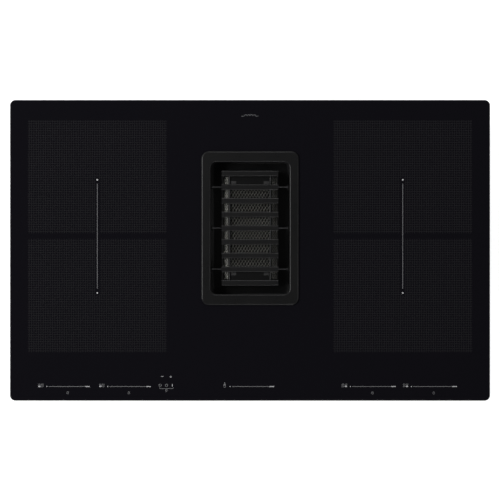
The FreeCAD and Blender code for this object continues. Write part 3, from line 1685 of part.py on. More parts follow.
def check(objects):
    """Stops if an object failed or a sub-part has no sound shape."""
    failed = [o.Label for o in doc.Objects if "Invalid" in o.State or "Error" in o.State]
    if failed:
        raise RuntimeError(f"failed: {failed}")
    for target in objects:
        if target.Shape.isNull() or not target.Shape.isValid() or not target.Shape.Solids:
            raise RuntimeError(f"no sound shape: {target.Label}")


def main():
    for make in (
        make_glass,
        make_seals,
        make_bezel,
        make_grille,
        make_cassette,
        make_well,
        make_container,
        make_duct,
        make_casing,
        make_inlet_ring,
        make_outlet_flange,
        make_impeller,
        make_motor,
        make_tray,
        make_brackets,
        make_clips,
        make_coils,
        make_carriers,
        make_boards,
        make_fans,
        make_touch,
        make_mains,
        make_wiring,
    ):
        make()
    doc.recompute()
    check(PIECES)
    os.makedirs("parts", exist_ok=True)
    for target in PIECES:
        target.Shape.exportStep(f"parts/{target.Label}.step")
    print(len(PIECES), "sub-parts")


main()
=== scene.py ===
import json
import math

import bmesh
import bpy
from bpy.props import FloatProperty, FloatVectorProperty, IntProperty, PointerProperty
from mathutils import Matrix, Vector


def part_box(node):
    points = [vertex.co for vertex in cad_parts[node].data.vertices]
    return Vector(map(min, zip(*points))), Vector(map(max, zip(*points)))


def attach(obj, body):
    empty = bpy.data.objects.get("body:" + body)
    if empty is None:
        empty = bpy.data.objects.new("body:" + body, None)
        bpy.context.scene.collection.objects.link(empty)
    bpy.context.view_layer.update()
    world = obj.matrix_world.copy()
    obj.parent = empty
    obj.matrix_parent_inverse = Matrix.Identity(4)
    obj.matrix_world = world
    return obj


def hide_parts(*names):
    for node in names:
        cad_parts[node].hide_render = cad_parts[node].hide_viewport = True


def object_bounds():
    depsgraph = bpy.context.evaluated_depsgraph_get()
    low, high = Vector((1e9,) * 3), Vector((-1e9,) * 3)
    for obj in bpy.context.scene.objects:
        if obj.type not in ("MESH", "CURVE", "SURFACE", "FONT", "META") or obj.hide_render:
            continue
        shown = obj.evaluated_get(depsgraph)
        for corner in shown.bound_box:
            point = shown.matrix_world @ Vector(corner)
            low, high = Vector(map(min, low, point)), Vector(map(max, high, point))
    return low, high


bl_info = {
    "name": "Downdraft Induction Cooktop",
    "version": (1, 0, 0),
    "blender": (4, 5, 0),
    "location": "View3D > Sidebar > Cooktop",
    "description": "Dresses the cooktop's packed parts with finishes, prints, mesh and fasteners",
    "category": "Object",
}

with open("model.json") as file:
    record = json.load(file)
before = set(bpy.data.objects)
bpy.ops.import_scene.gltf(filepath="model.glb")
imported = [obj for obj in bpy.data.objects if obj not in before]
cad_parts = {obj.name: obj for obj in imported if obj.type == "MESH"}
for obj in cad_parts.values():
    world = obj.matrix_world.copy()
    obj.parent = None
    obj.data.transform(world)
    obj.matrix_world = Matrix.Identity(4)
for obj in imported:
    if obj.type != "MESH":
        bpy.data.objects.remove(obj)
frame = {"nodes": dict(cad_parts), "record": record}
NODES = frame["nodes"]
SLOT_OF = {part["node"]: part["material_slot"] for part in frame["record"]["subparts"]}
CAD_BOX = [list(corner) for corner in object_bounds()]
MM = 0.001


# Sizes and colours that a user would change


class ZonePrint(bpy.types.PropertyGroup):
    pitch: FloatProperty(
        name="Grid Pitch", description="Side of a printed square", default=0.00405, unit="LENGTH"
    )
    line_share: FloatProperty(
        name="Line Share", description="Part of the pitch that one line takes", default=0.17, subtype="FACTOR"
    )
    spread: FloatProperty(
        name="Zone Spread", description="Zone centre from the middle", default=0.264, unit="LENGTH"
    )
    half_width: FloatProperty(
        name="Zone Half Width", description="Half of a zone's width", default=0.12, unit="LENGTH"
    )
    glass: FloatVectorProperty(
        name="Glass", description="Glass colour", default=(0.0056, 0.0052, 0.0073), subtype="COLOR"
    )
    grid: FloatVectorProperty(
        name="Grid", description="Printed squares", default=(0.018, 0.0177, 0.0192), subtype="COLOR"
    )
    line: FloatVectorProperty(
        name="Line", description="Bridge lines and symbols", default=(0.155, 0.155, 0.16), subtype="COLOR"
    )


class FilterMesh(bpy.types.PropertyGroup):
    across: FloatProperty(name="Cell Across", description="Opening across", default=0.0051, unit="LENGTH")
    along: FloatProperty(name="Cell Along", description="Opening along", default=0.0088, unit="LENGTH")
    strand: FloatProperty(name="Strand", description="Width of a strand", default=0.0009, unit="LENGTH")
    thickness: FloatProperty(name="Thickness", description="Sheet thickness", default=0.0005, unit="LENGTH")
    tilt: FloatProperty(name="Tilt", description="Turn of the rising strands", default=1.28, unit="ROTATION")
    cross_tilt: FloatProperty(
        name="Cross Tilt", description="Turn of the other strands", default=0.25, unit="ROTATION"
    )
    sag: FloatProperty(name="Sag", description="Hollow of the middle panel", default=0.001, unit="LENGTH")
    lean: FloatProperty(
        name="Lean",
        description="Share of their solids' fall that the side panels keep",
        default=0.5,
        subtype="FACTOR",
    )
    finer: FloatProperty(
        name="Finer",
        description="Cell of the side panels as a share of the middle's",
        default=0.62,
        subtype="FACTOR",
    )
    wider: FloatProperty(
        name="Wider", description="Strand of the side panels as a share of the middle's", default=1.05
    )


class Fasteners(bpy.types.PropertyGroup):
    head_radius: FloatProperty(name="Head Radius", description="Pan head", default=0.0034, unit="LENGTH")
    head_height: FloatProperty(name="Head Height", description="Pan head", default=0.0026, unit="LENGTH")
    recess: FloatProperty(name="Recess", description="Cross recess across", default=0.0036, unit="LENGTH")
    rib_radius: FloatProperty(name="Rib Radius", description="Moulded ribs", default=0.001, unit="LENGTH")
    grips: IntProperty(name="Gland Grips", description="Grip ribs on the gland nut", default=16)


class StudioLight(bpy.types.PropertyGroup):
    key: FloatProperty(name="Key", description="Soft lamp on the left", default=54.0, unit="POWER")
    front: FloatProperty(name="Front", description="Lamp in front", default=9.0, unit="POWER")
    rear: FloatProperty(name="Rear", description="Soft lamp behind", default=12.0, unit="POWER")
    right: FloatProperty(name="Right", description="Lamp on the right", default=4.5, unit="POWER")
    fill: FloatProperty(name="Fill", description="Strength of the surroundings", default=1.0)
    drop: FloatProperty(name="Floor Drop", description="Floor below the object", default=0.05, unit="LENGTH")


# Shader groups and finishes


def link(tree, source, target):
    tree.links.new(source, target)


def put(tree, kind, **inputs):
    """Adds a node and sets or links its inputs by name."""
    node = tree.nodes.new(kind)
    for name, value in inputs.items():
        socket = node.inputs[name.replace("_", " ")]
        if isinstance(value, bpy.types.NodeSocket):
            link(tree, value, socket)
        else:
            socket.default_value = value
    return node


def vector(tree, **parts):
    return put(tree, "ShaderNodeCombineXYZ", **parts).outputs[0]


def calc(tree, operation, *values):
    node = tree.nodes.new("ShaderNodeMath")
    node.operation = operation
    for index, value in enumerate(values):
        if isinstance(value, bpy.types.NodeSocket):
            link(tree, value, node.inputs[index])
        else:
            node.inputs[index].default_value = value
    return node.outputs[0]


def blend_colour(tree, factor, first, second):
    node = tree.nodes.new("ShaderNodeMix")
    node.data_type = "RGBA"
    for socket, value in ((node.inputs[0], factor), (node.inputs[6], first), (node.inputs[7], second)):
        if isinstance(value, bpy.types.NodeSocket):
            link(tree, value, socket)
        else:
            socket.default_value = value
    return node.outputs[2]


def new_material(name):
    made = bpy.data.materials.new(name)
    made.use_nodes = True
    return made, made.node_tree, made.node_tree.nodes["Principled BSDF"]


def shader_group(name, inputs, outputs):
    """A new shader group with its sockets, and its nodes for input and output."""
    tree = bpy.data.node_groups.new(name, "ShaderNodeTree")
    for label, kind, value in inputs:
        socket = tree.interface.new_socket(label, in_out="INPUT", socket_type=kind)
        socket.default_value = value
    for label, kind in outputs:
        tree.interface.new_socket(label, in_out="OUTPUT", socket_type=kind)
    return tree, tree.nodes.new("NodeGroupInput"), tree.nodes.new("NodeGroupOutput")


def surface_grain():
    """Fine grain with uneven colour and gloss, stretched for brushed or rolled metal."""
    name = "Surface Grain"
    if name in bpy.data.node_groups:
        return bpy.data.node_groups[name]
    tree, start, end = shader_group(
        name,
        (
            ("Colour", "NodeSocketColor", (0.5, 0.5, 0.5, 1)),
            ("Scale", "NodeSocketFloat", 400.0),
            ("Stretch", "NodeSocketVector", (1, 1, 1)),
            ("Colour Spread", "NodeSocketFloat", 0.1),
            ("Roughness", "NodeSocketFloat", 0.5),
            ("Roughness Spread", "NodeSocketFloat", 0.1),
            ("Dust", "NodeSocketFloat", 0.1),
        ),
        (("Colour", "NodeSocketColor"), ("Roughness", "NodeSocketFloat"), ("Height", "NodeSocketFloat")),
    )
    place = tree.nodes.new("ShaderNodeTexCoord").outputs["Object"]
    mapped = put(tree, "ShaderNodeMapping", Vector=place, Scale=start.outputs["Stretch"]).outputs[0]
    fine = put(tree, "ShaderNodeTexNoise", Vector=mapped, Scale=start.outputs["Scale"], Detail=4.0).outputs[0]
    wide = put(tree, "ShaderNodeTexNoise", Vector=place, Scale=18.0, Detail=3.0).outputs[0]
    centred = calc(tree, "SUBTRACT", fine, 0.5)
    drift = calc(tree, "SUBTRACT", wide, 0.5)
    shade = calc(tree, "MULTIPLY_ADD", centred, start.outputs["Colour Spread"], 1.0)
    shade = calc(tree, "MULTIPLY_ADD", drift, start.outputs["Dust"], shade)
    tone = tree.nodes.new("ShaderNodeVectorMath")
    tone.operation = "SCALE"
    link(tree, start.outputs["Colour"], tone.inputs[0])
    link(tree, shade, tone.inputs["Scale"])
    rough = calc(tree, "MULTIPLY_ADD", centred, start.outputs["Roughness Spread"], start.outputs["Roughness"])
    rough = calc(tree, "MULTIPLY_ADD", drift, start.outputs["Dust"], rough)
    link(tree, tone.outputs[0], end.inputs["Colour"])
    link(tree, rough, end.inputs["Roughness"])
    link(tree, fine, end.inputs["Height"])
    return tree


def finish(name, colour, metallic=0.0, rough=0.5, **grain):
    """A material with the surface grain; extra keys set the group's inputs and the bump."""
    if name in bpy.data.materials:
        return bpy.data.materials[name]
    bump, gloss = grain.pop("bump", 0.15), grain.pop("gloss", 0.5)
    made, tree, shader = new_material(name)
    shader.inputs["Metallic"].default_value = metallic
    shader.inputs["Specular IOR Level"].default_value = gloss
    group = tree.nodes.new("ShaderNodeGroup")
    group.node_tree = surface_grain()
    group.inputs["Colour"].default_value = (*colour, 1)
    group.inputs["Roughness"].default_value = rough
    for key, value in grain.items():
        group.inputs[key.replace("_", " ").title()].default_value = value
    link(tree, group.outputs["Colour"], shader.inputs["Base Color"])
    link(tree, group.outputs["Roughness"], shader.inputs["Roughness"])
    height = put(tree, "ShaderNodeBump", Strength=bump, Distance=0.0002, Height=group.outputs["Height"])
    link(tree, height.outputs[0], shader.inputs["Normal"])
    return made


BRUSHED = (1, 14, 1)
FINISHES = {
    "foam_tape": dict(colour=(0.02, 0.02, 0.02), rough=0.9, scale=900.0, bump=0.6),
    "soft_rubber": dict(colour=(0.018, 0.018, 0.019), rough=0.7, scale=700.0, bump=0.2),
    "trim_enamel": dict(colour=(0.0088, 0.0088, 0.009), rough=0.29, gloss=0.25, scale=900.0, bump=0.08),
    "grille_enamel": dict(colour=(0.006, 0.006, 0.0062), rough=0.3, scale=900.0, bump=0.08),
    "grille_wire": dict(colour=(0.03, 0.03, 0.031), metallic=1.0, rough=0.3, stretch=BRUSHED, scale=300.0),
    "filter_metal": dict(colour=(0.2, 0.2, 0.185), metallic=1.0, rough=0.42, scale=500.0),
    "cassette_enamel": dict(colour=(0.0014, 0.0014, 0.0015), rough=0.3, scale=800.0),
    "well_plastic": dict(colour=(0.006, 0.006, 0.0065), rough=0.6, scale=1200.0, bump=0.3),
    "duct_plastic": dict(colour=(0.035, 0.035, 0.038), rough=0.55, scale=1100.0, bump=0.3),
    "container_plastic": dict(colour=(0.028, 0.029, 0.031), rough=0.38, scale=900.0, bump=0.12),
    "galvanised_sheet": dict(
        colour=(0.5, 0.51, 0.53), metallic=1.0, rough=0.4, scale=160.0, colour_spread=0.5
    ),
    "spring_steel": dict(colour=(0.5, 0.5, 0.51), metallic=1.0, rough=0.3, stretch=BRUSHED, scale=220.0),
    "screw_steel": dict(colour=(0.55, 0.55, 0.56), metallic=1.0, rough=0.28, scale=900.0),
    "cast_aluminium": dict(colour=(0.45, 0.46, 0.47), metallic=1.0, rough=0.5, scale=1300.0, bump=0.35),
    "sheet_aluminium": dict(
        colour=(0.62, 0.63, 0.64), metallic=1.0, rough=0.35, stretch=BRUSHED, scale=240.0
    ),
    "litz_copper": dict(
        colour=(0.5, 0.2, 0.09), metallic=1.0, rough=0.35, stretch=BRUSHED, scale=260.0, bump=0.5
    ),
    "ferrite": dict(colour=(0.05, 0.05, 0.055), rough=0.75, scale=1500.0, bump=0.3),
    "mica": dict(colour=(0.5, 0.45, 0.34), rough=0.45, scale=240.0, colour_spread=0.4),
    "board": dict(colour=(0.012, 0.1, 0.045), rough=0.35, scale=500.0),
    "capacitor_case": dict(label="capacitor_sleeve", colour=(0.03, 0.03, 0.035), rough=0.3, scale=800.0),
    "fan_plastic": dict(colour=(0.012, 0.012, 0.013), rough=0.5, scale=1100.0, bump=0.25),
    "wheel_plastic": dict(colour=(0.04, 0.04, 0.043), rough=0.5, scale=1100.0, bump=0.25),
    "wheel_metal": dict(colour=(0.42, 0.43, 0.45), metallic=1.0, rough=0.42, scale=180.0, colour_spread=0.35),
    "laminations": dict(colour=(0.12, 0.1, 0.08), metallic=0.8, rough=0.5, stretch=(1, 1, 20), scale=150.0),
    "bearing_steel": dict(colour=(0.6, 0.6, 0.61), metallic=1.0, rough=0.2, scale=700.0),
    "terminal_plastic": dict(colour=(0.6, 0.6, 0.57), rough=0.35, scale=900.0),
    "cover_plastic": dict(colour=(0.015, 0.015, 0.016), rough=0.5, scale=1100.0, bump=0.3),
    "lead_sleeve": dict(colour=(0.01, 0.01, 0.011), rough=0.45, scale=500.0),
    "pad_foam": dict(colour=(0.03, 0.03, 0.03), rough=0.95, scale=1200.0, bump=0.6),
}


def slot_material(slot):
    values = dict(FINISHES[slot])
    label = values.pop("label", slot)
    return finish(label.replace("_", " ").title(), **values)


def dress(*names):
    """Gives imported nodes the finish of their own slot."""
    for name in names:
        data = NODES[name].data
        data.materials.clear()
        data.materials.append(slot_material(SLOT_OF[name]))


# The print on the glass, in metres from the object's middle, and the gloss of its parts
ZONE_ROWS = ((-0.1762, 0.0201), (0.0293, 0.2249))
BRIDGE = (-0.0665, 0.1153)
BRIDGE_HALF_WIDTH = 0.0006
CLEAR_MARGIN = 0.004
DOTS = (0.122, -0.0736)
DOT_RADIUS = 0.0015
CLEAR_RADIUS = 0.0044
DOT_COLOUR = (0.5, 0.5, 0.5, 1)
GLASS_ROUGHNESS, SMEAR_ROUGHNESS, GRID_ROUGHNESS = 0.05, 0.05, 0.08


def printed_glass(print_of):
    """Black glass whose zones carry a fine square print, with bridge lines and dots."""
    made, tree, shader = new_material("Printed Black Glass")
    place = tree.nodes.new("ShaderNodeTexCoord").outputs["Object"]
    split = put(tree, "ShaderNodeSeparateXYZ", Vector=place)
    x, y = split.outputs[0], split.outputs[1]
    across = calc(tree, "SUBTRACT", calc(tree, "ABSOLUTE", x), print_of.spread)
    off_line = calc(tree, "ABSOLUTE", across)

    def between(value, low, high):
        above = calc(tree, "GREATER_THAN", value, low)
        return calc(tree, "MULTIPLY", above, calc(tree, "LESS_THAN", value, high))

    def ruled(value):
        part = calc(tree, "FRACT", calc(tree, "DIVIDE", value, print_of.pitch))
        return calc(tree, "LESS_THAN", part, print_of.line_share)

    def near_dots(radius):
        found = []
        for level in DOTS:
            rise = calc(tree, "SUBTRACT", y, level)
            square = calc(tree, "MULTIPLY_ADD", rise, rise, calc(tree, "MULTIPLY", across, across))
            found.append(calc(tree, "LESS_THAN", calc(tree, "SQRT", square), radius))
        return calc(tree, "MAXIMUM", *found)

    def strip(half, margin):
        beside = calc(tree, "LESS_THAN", off_line, half)
        return calc(tree, "MULTIPLY", beside, between(y, BRIDGE[0] - margin, BRIDGE[1] + margin))

    in_column = calc(tree, "LESS_THAN", off_line, print_of.half_width)
    in_rows = calc(tree, "MAXIMUM", *(between(y, low, high) for low, high in ZONE_ROWS))
    lines = calc(tree, "MAXIMUM", ruled(across), ruled(y))
    bridge = strip(BRIDGE_HALF_WIDTH, 0.0)
    dots = near_dots(DOT_RADIUS)
    clear = calc(tree, "MAXIMUM", strip(CLEAR_MARGIN, CLEAR_MARGIN), near_dots(CLEAR_RADIUS))
    grid = calc(tree, "MULTIPLY", calc(tree, "MULTIPLY", in_column, in_rows), lines)
    grid = calc(tree, "MULTIPLY", grid, calc(tree, "SUBTRACT", 1.0, clear))
    colour = blend_colour(tree, grid, (*print_of.glass, 1), (*print_of.grid, 1))
    colour = blend_colour(tree, bridge, colour, (*print_of.line, 1))
    colour = blend_colour(tree, dots, colour, DOT_COLOUR)
    link(tree, colour, shader.inputs["Base Color"])
    smear = put(tree, "ShaderNodeTexNoise", Vector=place, Scale=9.0, Detail=3.0).outputs[0]
    rough = calc(tree, "MULTIPLY_ADD", smear, SMEAR_ROUGHNESS, GLASS_ROUGHNESS)
    rough = calc(tree, "MULTIPLY_ADD", grid, GRID_ROUGHNESS, rough)
    link(tree, rough, shader.inputs["Roughness"])
    return made


# Ways to make meshes


def new_piece(name, data, body, material, stands_for=()):
    """Makes an object of the mesh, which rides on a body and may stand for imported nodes."""
    piece = bpy.data.objects.new(name, data)
    bpy.context.scene.collection.objects.link(piece)
    data.materials.clear()
    data.materials.append(material)
    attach(piece, body)
    if stands_for:
        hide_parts(*stands_for)
    return piece


def geometry_tree(name, inputs):
    """A new Geometry Nodes group with its sockets, and its nodes for input and output."""
    tree = bpy.data.node_groups.new(name, "GeometryNodeTree")
    tree.interface.new_socket("Geometry", in_out="INPUT", socket_type="NodeSocketGeometry")
    for label, kind, value in inputs:
        socket = tree.interface.new_socket(label, in_out="INPUT", socket_type=kind)
        if value is not None:
            socket.default_value = value
    tree.interface.new_socket("Material", in_out="INPUT", socket_type="NodeSocketMaterial")
    tree.interface.new_socket("Geometry", in_out="OUTPUT", socket_type="NodeSocketGeometry")
    return tree, tree.nodes.new("NodeGroupInput"), tree.nodes.new("NodeGroupOutput")


def swept(tree, curve, profile):
    """A closed bar with this profile along the curve."""
    bar = put(tree, "GeometryNodeCurveToMesh", Curve=curve, Profile_Curve=profile, Fill_Caps=True)
    return bar.outputs[0]


def round_bar(tree, given, axis, sides):
    """A round bar along an axis, centred on the origin."""
    half = calc(tree, "MULTIPLY", given["Length"], 0.5)
    low = vector(tree, **{axis: calc(tree, "MULTIPLY", half, -1.0)})
    line = put(tree, "GeometryNodeCurvePrimitiveLine", Start=low, End=vector(tree, **{axis: half}))
    circle = put(tree, "GeometryNodeCurvePrimitiveCircle", Resolution=sides, Radius=given["Radius"])
    return swept(tree, line.outputs[0], circle.outputs[0])


def gathered(tree, geometries):
    node = tree.nodes.new("GeometryNodeJoinGeometry")
    for geometry in geometries:
        link(tree, geometry, node.inputs[0])
    return node.outputs[0]


def close_tree(tree, start, end, geometry):
    """Ends a tree in Realize Instances and Set Material."""
    real = put(tree, "GeometryNodeRealizeInstances", Geometry=geometry).outputs[0]
    painted = put(tree, "GeometryNodeSetMaterial", Geometry=real, Material=start.outputs["Material"])
    link(tree, painted.outputs[0], end.inputs["Geometry"])
    return tree


def baked(tree, values, points=()):
    """The tree's result as a plain mesh, from points that it may place things on."""
    data = bpy.data.meshes.new(tree.name)
    data.from_pydata([tuple(p) for p in points], [], [])
    maker = bpy.data.objects.new(tree.name, data)
    bpy.context.scene.collection.objects.link(maker)
    modifier = maker.modifiers.new("Shape", "NODES")
    modifier.node_group = tree
    for item in tree.interface.items_tree:
        if item.in_out == "INPUT" and item.name in values:
            modifier[item.identifier] = values[item.name]
    graph = bpy.context.evaluated_depsgraph_get()
    made = bpy.data.meshes.new_from_object(maker.evaluated_get(graph), depsgraph=graph)
    bpy.data.objects.remove(maker)
    if not made.polygons:
        raise RuntimeError(f"{tree.name} made no faces")
    return made


def join_meshes(*parts):
    """One mesh from (mesh, matrix) pairs."""
    joined = bmesh.new()
    for data, matrix in parts:
        copy = data.copy()
        copy.transform(matrix)
        joined.from_mesh(copy)
        bpy.data.meshes.remove(copy)
    made = bpy.data.meshes.new("Joined")
    joined.to_mesh(made)
    joined.free()
    return made


def expanded_metal():
    """Diamond strands in a border, about the origin."""
    name = "Expanded Metal"
    if name in bpy.data.node_groups:
        return bpy.data.node_groups[name]
    size = "NodeSocketFloat"
    labels = (("Width", 0.068), ("Length", 0.142), ("Across", 0.0033), ("Along", 0.005), ("Strand", 0.0009))
    labels += (("Thickness", 0.0005), ("Tilt", 1.3), ("Cross Tilt", 0.3))
    tree, start, end = geometry_tree(name, [(label, size, value) for label, value in labels])
    given = start.outputs

    def number(operation, *values):
        return calc(tree, operation, *values)

    columns = number("FLOOR", number("DIVIDE", given["Width"], given["Across"]))
    rows = number("FLOOR", number("DIVIDE", given["Length"], given["Along"]))
    cell_x = number("DIVIDE", given["Width"], columns)
    cell_y = number("DIVIDE", given["Length"], rows)
    points = put(
        tree,
        "GeometryNodeMeshGrid",
        Size_X=number("SUBTRACT", given["Width"], cell_x),
        Size_Y=number("SUBTRACT", given["Length"], cell_y),
        Vertices_X=columns,
        Vertices_Y=rows,
    )
    strip = put(
        tree, "GeometryNodeCurvePrimitiveQuadrilateral", Width=given["Thickness"], Height=given["Strand"]
    ).outputs[0]
    half_x, half_y = number("MULTIPLY", cell_x, 0.5), number("MULTIPLY", cell_y, 0.5)
    left, right = vector(tree, X=number("MULTIPLY", half_x, -1.0)), vector(tree, X=half_x)
    front, back = vector(tree, Y=number("MULTIPLY", half_y, -1.0)), vector(tree, Y=half_y)
    # A strand stands on edge at tilt 0 and lies nearly flat at 1.3.
    rising, falling = ((left, back), (front, right)), ((back, right), (left, front))
    strands = []
    for tilt, sides in ((given["Tilt"], rising), (given["Cross Tilt"], falling)):
        for a, b in sides:
            side = put(tree, "GeometryNodeCurvePrimitiveLine", Start=a, End=b).outputs[0]
            tilted = put(tree, "GeometryNodeSetCurveTilt", Curve=side, Tilt=tilt).outputs[0]
            strands.append(swept(tree, tilted, strip))
    cell = gathered(tree, strands)
    cells = put(tree, "GeometryNodeInstanceOnPoints", Points=points.outputs[0], Instance=cell)
    edge = put(
        tree, "GeometryNodeCurvePrimitiveQuadrilateral", Width=given["Width"], Height=given["Length"]
    )
    border = swept(tree, edge.outputs[0], strip)
    return close_tree(tree, start, end, gathered(tree, (cells.outputs[0], border)))


# Parts of a pan head, as shares of its height, radius or recess
RIM_SHARE = 0.55
CROWN_SHARE = 0.7
SHANK_SHARE = 0.57
BLADE_SHARE = 0.26
RECESS_DEPTH = 1.2


def screw_heads():
    """Pan heads with a cross recess and a shank, one on every point."""
    name = "Pan Head Screws"
    if name in bpy.data.node_groups:
        return bpy.data.node_groups[name]
    size = "NodeSocketFloat"
    tree, start, end = geometry_tree(
        name,
        (
            ("Radius", size, 0.0034),
            ("Height", size, 0.0026),
            ("Recess", size, 0.0036),
            ("Shank", size, 0.005),
            ("Rotation", "NodeSocketRotation", None),
        ),
    )
    given = start.outputs
    low = calc(tree, "MULTIPLY", given["Height"], RIM_SHARE)
    high = calc(tree, "SUBTRACT", given["Height"], low)

    def lifted(geometry, z):
        place = vector(tree, Z=z)
        return put(tree, "GeometryNodeTransform", Geometry=geometry, Translation=place).outputs[0]

    rim = put(tree, "GeometryNodeMeshCylinder", Vertices=24, Radius=given["Radius"], Depth=low)
    rim = lifted(rim.outputs[0], calc(tree, "MULTIPLY", low, 0.5))
    crown = put(
        tree,
        "GeometryNodeMeshCone",
        Vertices=24,
        Radius_Top=calc(tree, "MULTIPLY", given["Radius"], CROWN_SHARE),
        Radius_Bottom=given["Radius"],
        Depth=high,
    )
    crown = lifted(crown.outputs[0], low)
    shank = put(
        tree,
        "GeometryNodeMeshCylinder",
        Vertices=16,
        Radius=calc(tree, "MULTIPLY", given["Radius"], SHANK_SHARE),
        Depth=given["Shank"],
    )
    shank = lifted(shank.outputs[0], calc(tree, "MULTIPLY", given["Shank"], -0.5))
    thin = calc(tree, "MULTIPLY", given["Recess"], BLADE_SHARE)
    deep = calc(tree, "MULTIPLY", given["Height"], RECESS_DEPTH)
    slots = []
    for wide, tall in ((given["Recess"], thin), (thin, given["Recess"])):
        cross = put(tree, "GeometryNodeMeshCube", Size=vector(tree, X=wide, Y=tall, Z=deep))
        slots.append(lifted(cross.outputs[0], given["Height"]))
    cutter = tree.nodes.new("GeometryNodeMeshBoolean")
    cutter.operation = "DIFFERENCE"
    link(tree, crown, cutter.inputs["Mesh 1"])
    link(tree, gathered(tree, slots), cutter.inputs["Mesh 2"])
    placed = put(
        tree,
        "GeometryNodeInstanceOnPoints",
        Points=given["Geometry"],
        Instance=gathered(tree, (cutter.outputs["Mesh"], rim, shank)),
        Rotation=given["Rotation"],
    )
    return close_tree(tree, start, end, placed.outputs[0])


def rib_row():
    """Round bars side by side, centred on the origin, each along Y."""
    name = "Moulded Ribs"
    if name in bpy.data.node_groups:
        return bpy.data.node_groups[name]
    size = "NodeSocketFloat"
    tree, start, end = geometry_tree(
        name,
        (
            ("Count", "NodeSocketInt", 6),
            ("Pitch", size, 0.02),
            ("Length", size, 0.1),
            ("Radius", size, 0.001),
        ),
    )
    given = start.outputs
    reach = calc(tree, "MULTIPLY", calc(tree, "SUBTRACT", given["Count"], 1.0), given["Pitch"])
    first = vector(tree, X=calc(tree, "MULTIPLY", reach, -0.5))
    step = vector(tree, X=given["Pitch"])
    row = put(tree, "GeometryNodeMeshLine", Count=given["Count"], Start_Location=first, Offset=step)
    bar = round_bar(tree, given, "Y", 12)
    placed = put(tree, "GeometryNodeInstanceOnPoints", Points=row.outputs[0], Instance=bar)
    return close_tree(tree, start, end, placed.outputs[0])


def ring_of_bars():
    """Bars that stand round a circle, either upright or pointing to its centre."""
    name = "Ring Of Bars"
    if name in bpy.data.node_groups:
        return bpy.data.node_groups[name]
    size = "NodeSocketFloat"
    tree, start, end = geometry_tree(
        name,
        (
            ("Count", "NodeSocketInt", 12),
            ("Circle", size, 0.06),
            ("Length", size, 0.03),
            ("Radius", size, 0.001),
            ("Lean", size, 0.0),
        ),
    )
    given = start.outputs
    points = put(tree, "GeometryNodeMeshCircle", Vertices=given["Count"], Radius=given["Circle"])
    tipped = vector(tree, Y=given["Lean"])
    bar = put(
        tree, "GeometryNodeTransform", Geometry=round_bar(tree, given, "Z", 10), Rotation=tipped
    ).outputs[0]
    step = calc(tree, "DIVIDE", math.tau, given["Count"])
    index = tree.nodes.new("GeometryNodeInputIndex").outputs[0]
    turn = vector(tree, Z=calc(tree, "MULTIPLY", index, step))
    placed = put(
        tree, "GeometryNodeInstanceOnPoints", Points=points.outputs[0], Instance=bar, Rotation=turn
    )
    return close_tree(tree, start, end, placed.outputs[0])


class Plate:
    """Collects thin flat printed shapes, in millimetres, on one level."""

    thickness = 0.02
    dot_sides = 20
    ring_sides = 24

    def __init__(self, level):
        self.mesh = bmesh.new()
        self.low = level * MM
        self.high = (level + self.thickness) * MM

    def polygon(self, points):
        low = [self.mesh.verts.new((x * MM, y * MM, self.low)) for x, y in points]
        high = [self.mesh.verts.new((x * MM, y * MM, self.high)) for x, y in points]
        self.mesh.faces.new(high)
        self.mesh.faces.new(low[::-1])
        for index, corner in enumerate(low):
            after = (index + 1) % len(low)
            self.mesh.faces.new((corner, low[after], high[after], high[index]))

    def bar(self, x0, x1, y0, y1):
        self.polygon(((x0, y0), (x1, y0), (x1, y1), (x0, y1)))

    def dot(self, x, y, radius):
        turns = [math.tau * index / self.dot_sides for index in range(self.dot_sides)]
        self.polygon([(x + radius * math.cos(a), y + radius * math.sin(a)) for a in turns])

    def arc(self, x, y, radius, width, start=0, stop=360, flat=1.0):
        """A ring or part of one, as short plates end to end."""
        steps = round(self.ring_sides * (stop - start) / 360)
        angles = [math.radians(start + (stop - start) * index / steps) for index in range(steps + 1)]
        inner, outer = radius - width / 2, radius + width / 2
        for a, b in zip(angles, angles[1:]):
            corners = ((inner, a), (outer, a), (outer, b), (inner, b))
            self.polygon([(x + r * flat * math.cos(t), y + r * math.sin(t)) for r, t in corners])

    def finished(self, name):
        bmesh.ops.remove_doubles(self.mesh, verts=self.mesh.verts, dist=1e-7)
        bmesh.ops.recalc_face_normals(self.mesh, faces=self.mesh.faces)
        made = bpy.data.meshes.new(name)
        self.mesh.to_mesh(made)
        self.mesh.free()
        return made


def turned_by(angle, axis, place=(0, 0, 0)):
    return Matrix.Translation(Vector(place)) @ Matrix.Rotation(math.radians(angle), 4, axis)


def node_centre(name):
    low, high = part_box(name)
    return (low + high) / 2


# Operators, one for each piece or group of like pieces


class DressGlass(bpy.types.Operator):
    """Black glass with its zone print, bridge lines and dots"""

    bl_idname = "cooktop.dress_glass"
    bl_label = "Glass Top"

    def execute(self, context):
        NODES["glass_top"].data.materials.clear()
        NODES["glass_top"].data.materials.append(printed_glass(context.scene.cooktop_print))
        dress("rim_seal", "well_seal")
        return {"FINISHED"}


# The printed sliders, in millimetres: where each starts and stops, their level and the symbols' level
SLIDERS = ((-348.0, -277.0), (-242.6, -171.5), (-31.2, 41.6), (176.7, 252.1), (282.4, 357.8))
SLIDER_Y = -235.4
CLOCK_Y = -246.4
SLIDER_END = 8.0
LINE_HALF = 0.45
END_HALF = 0.8


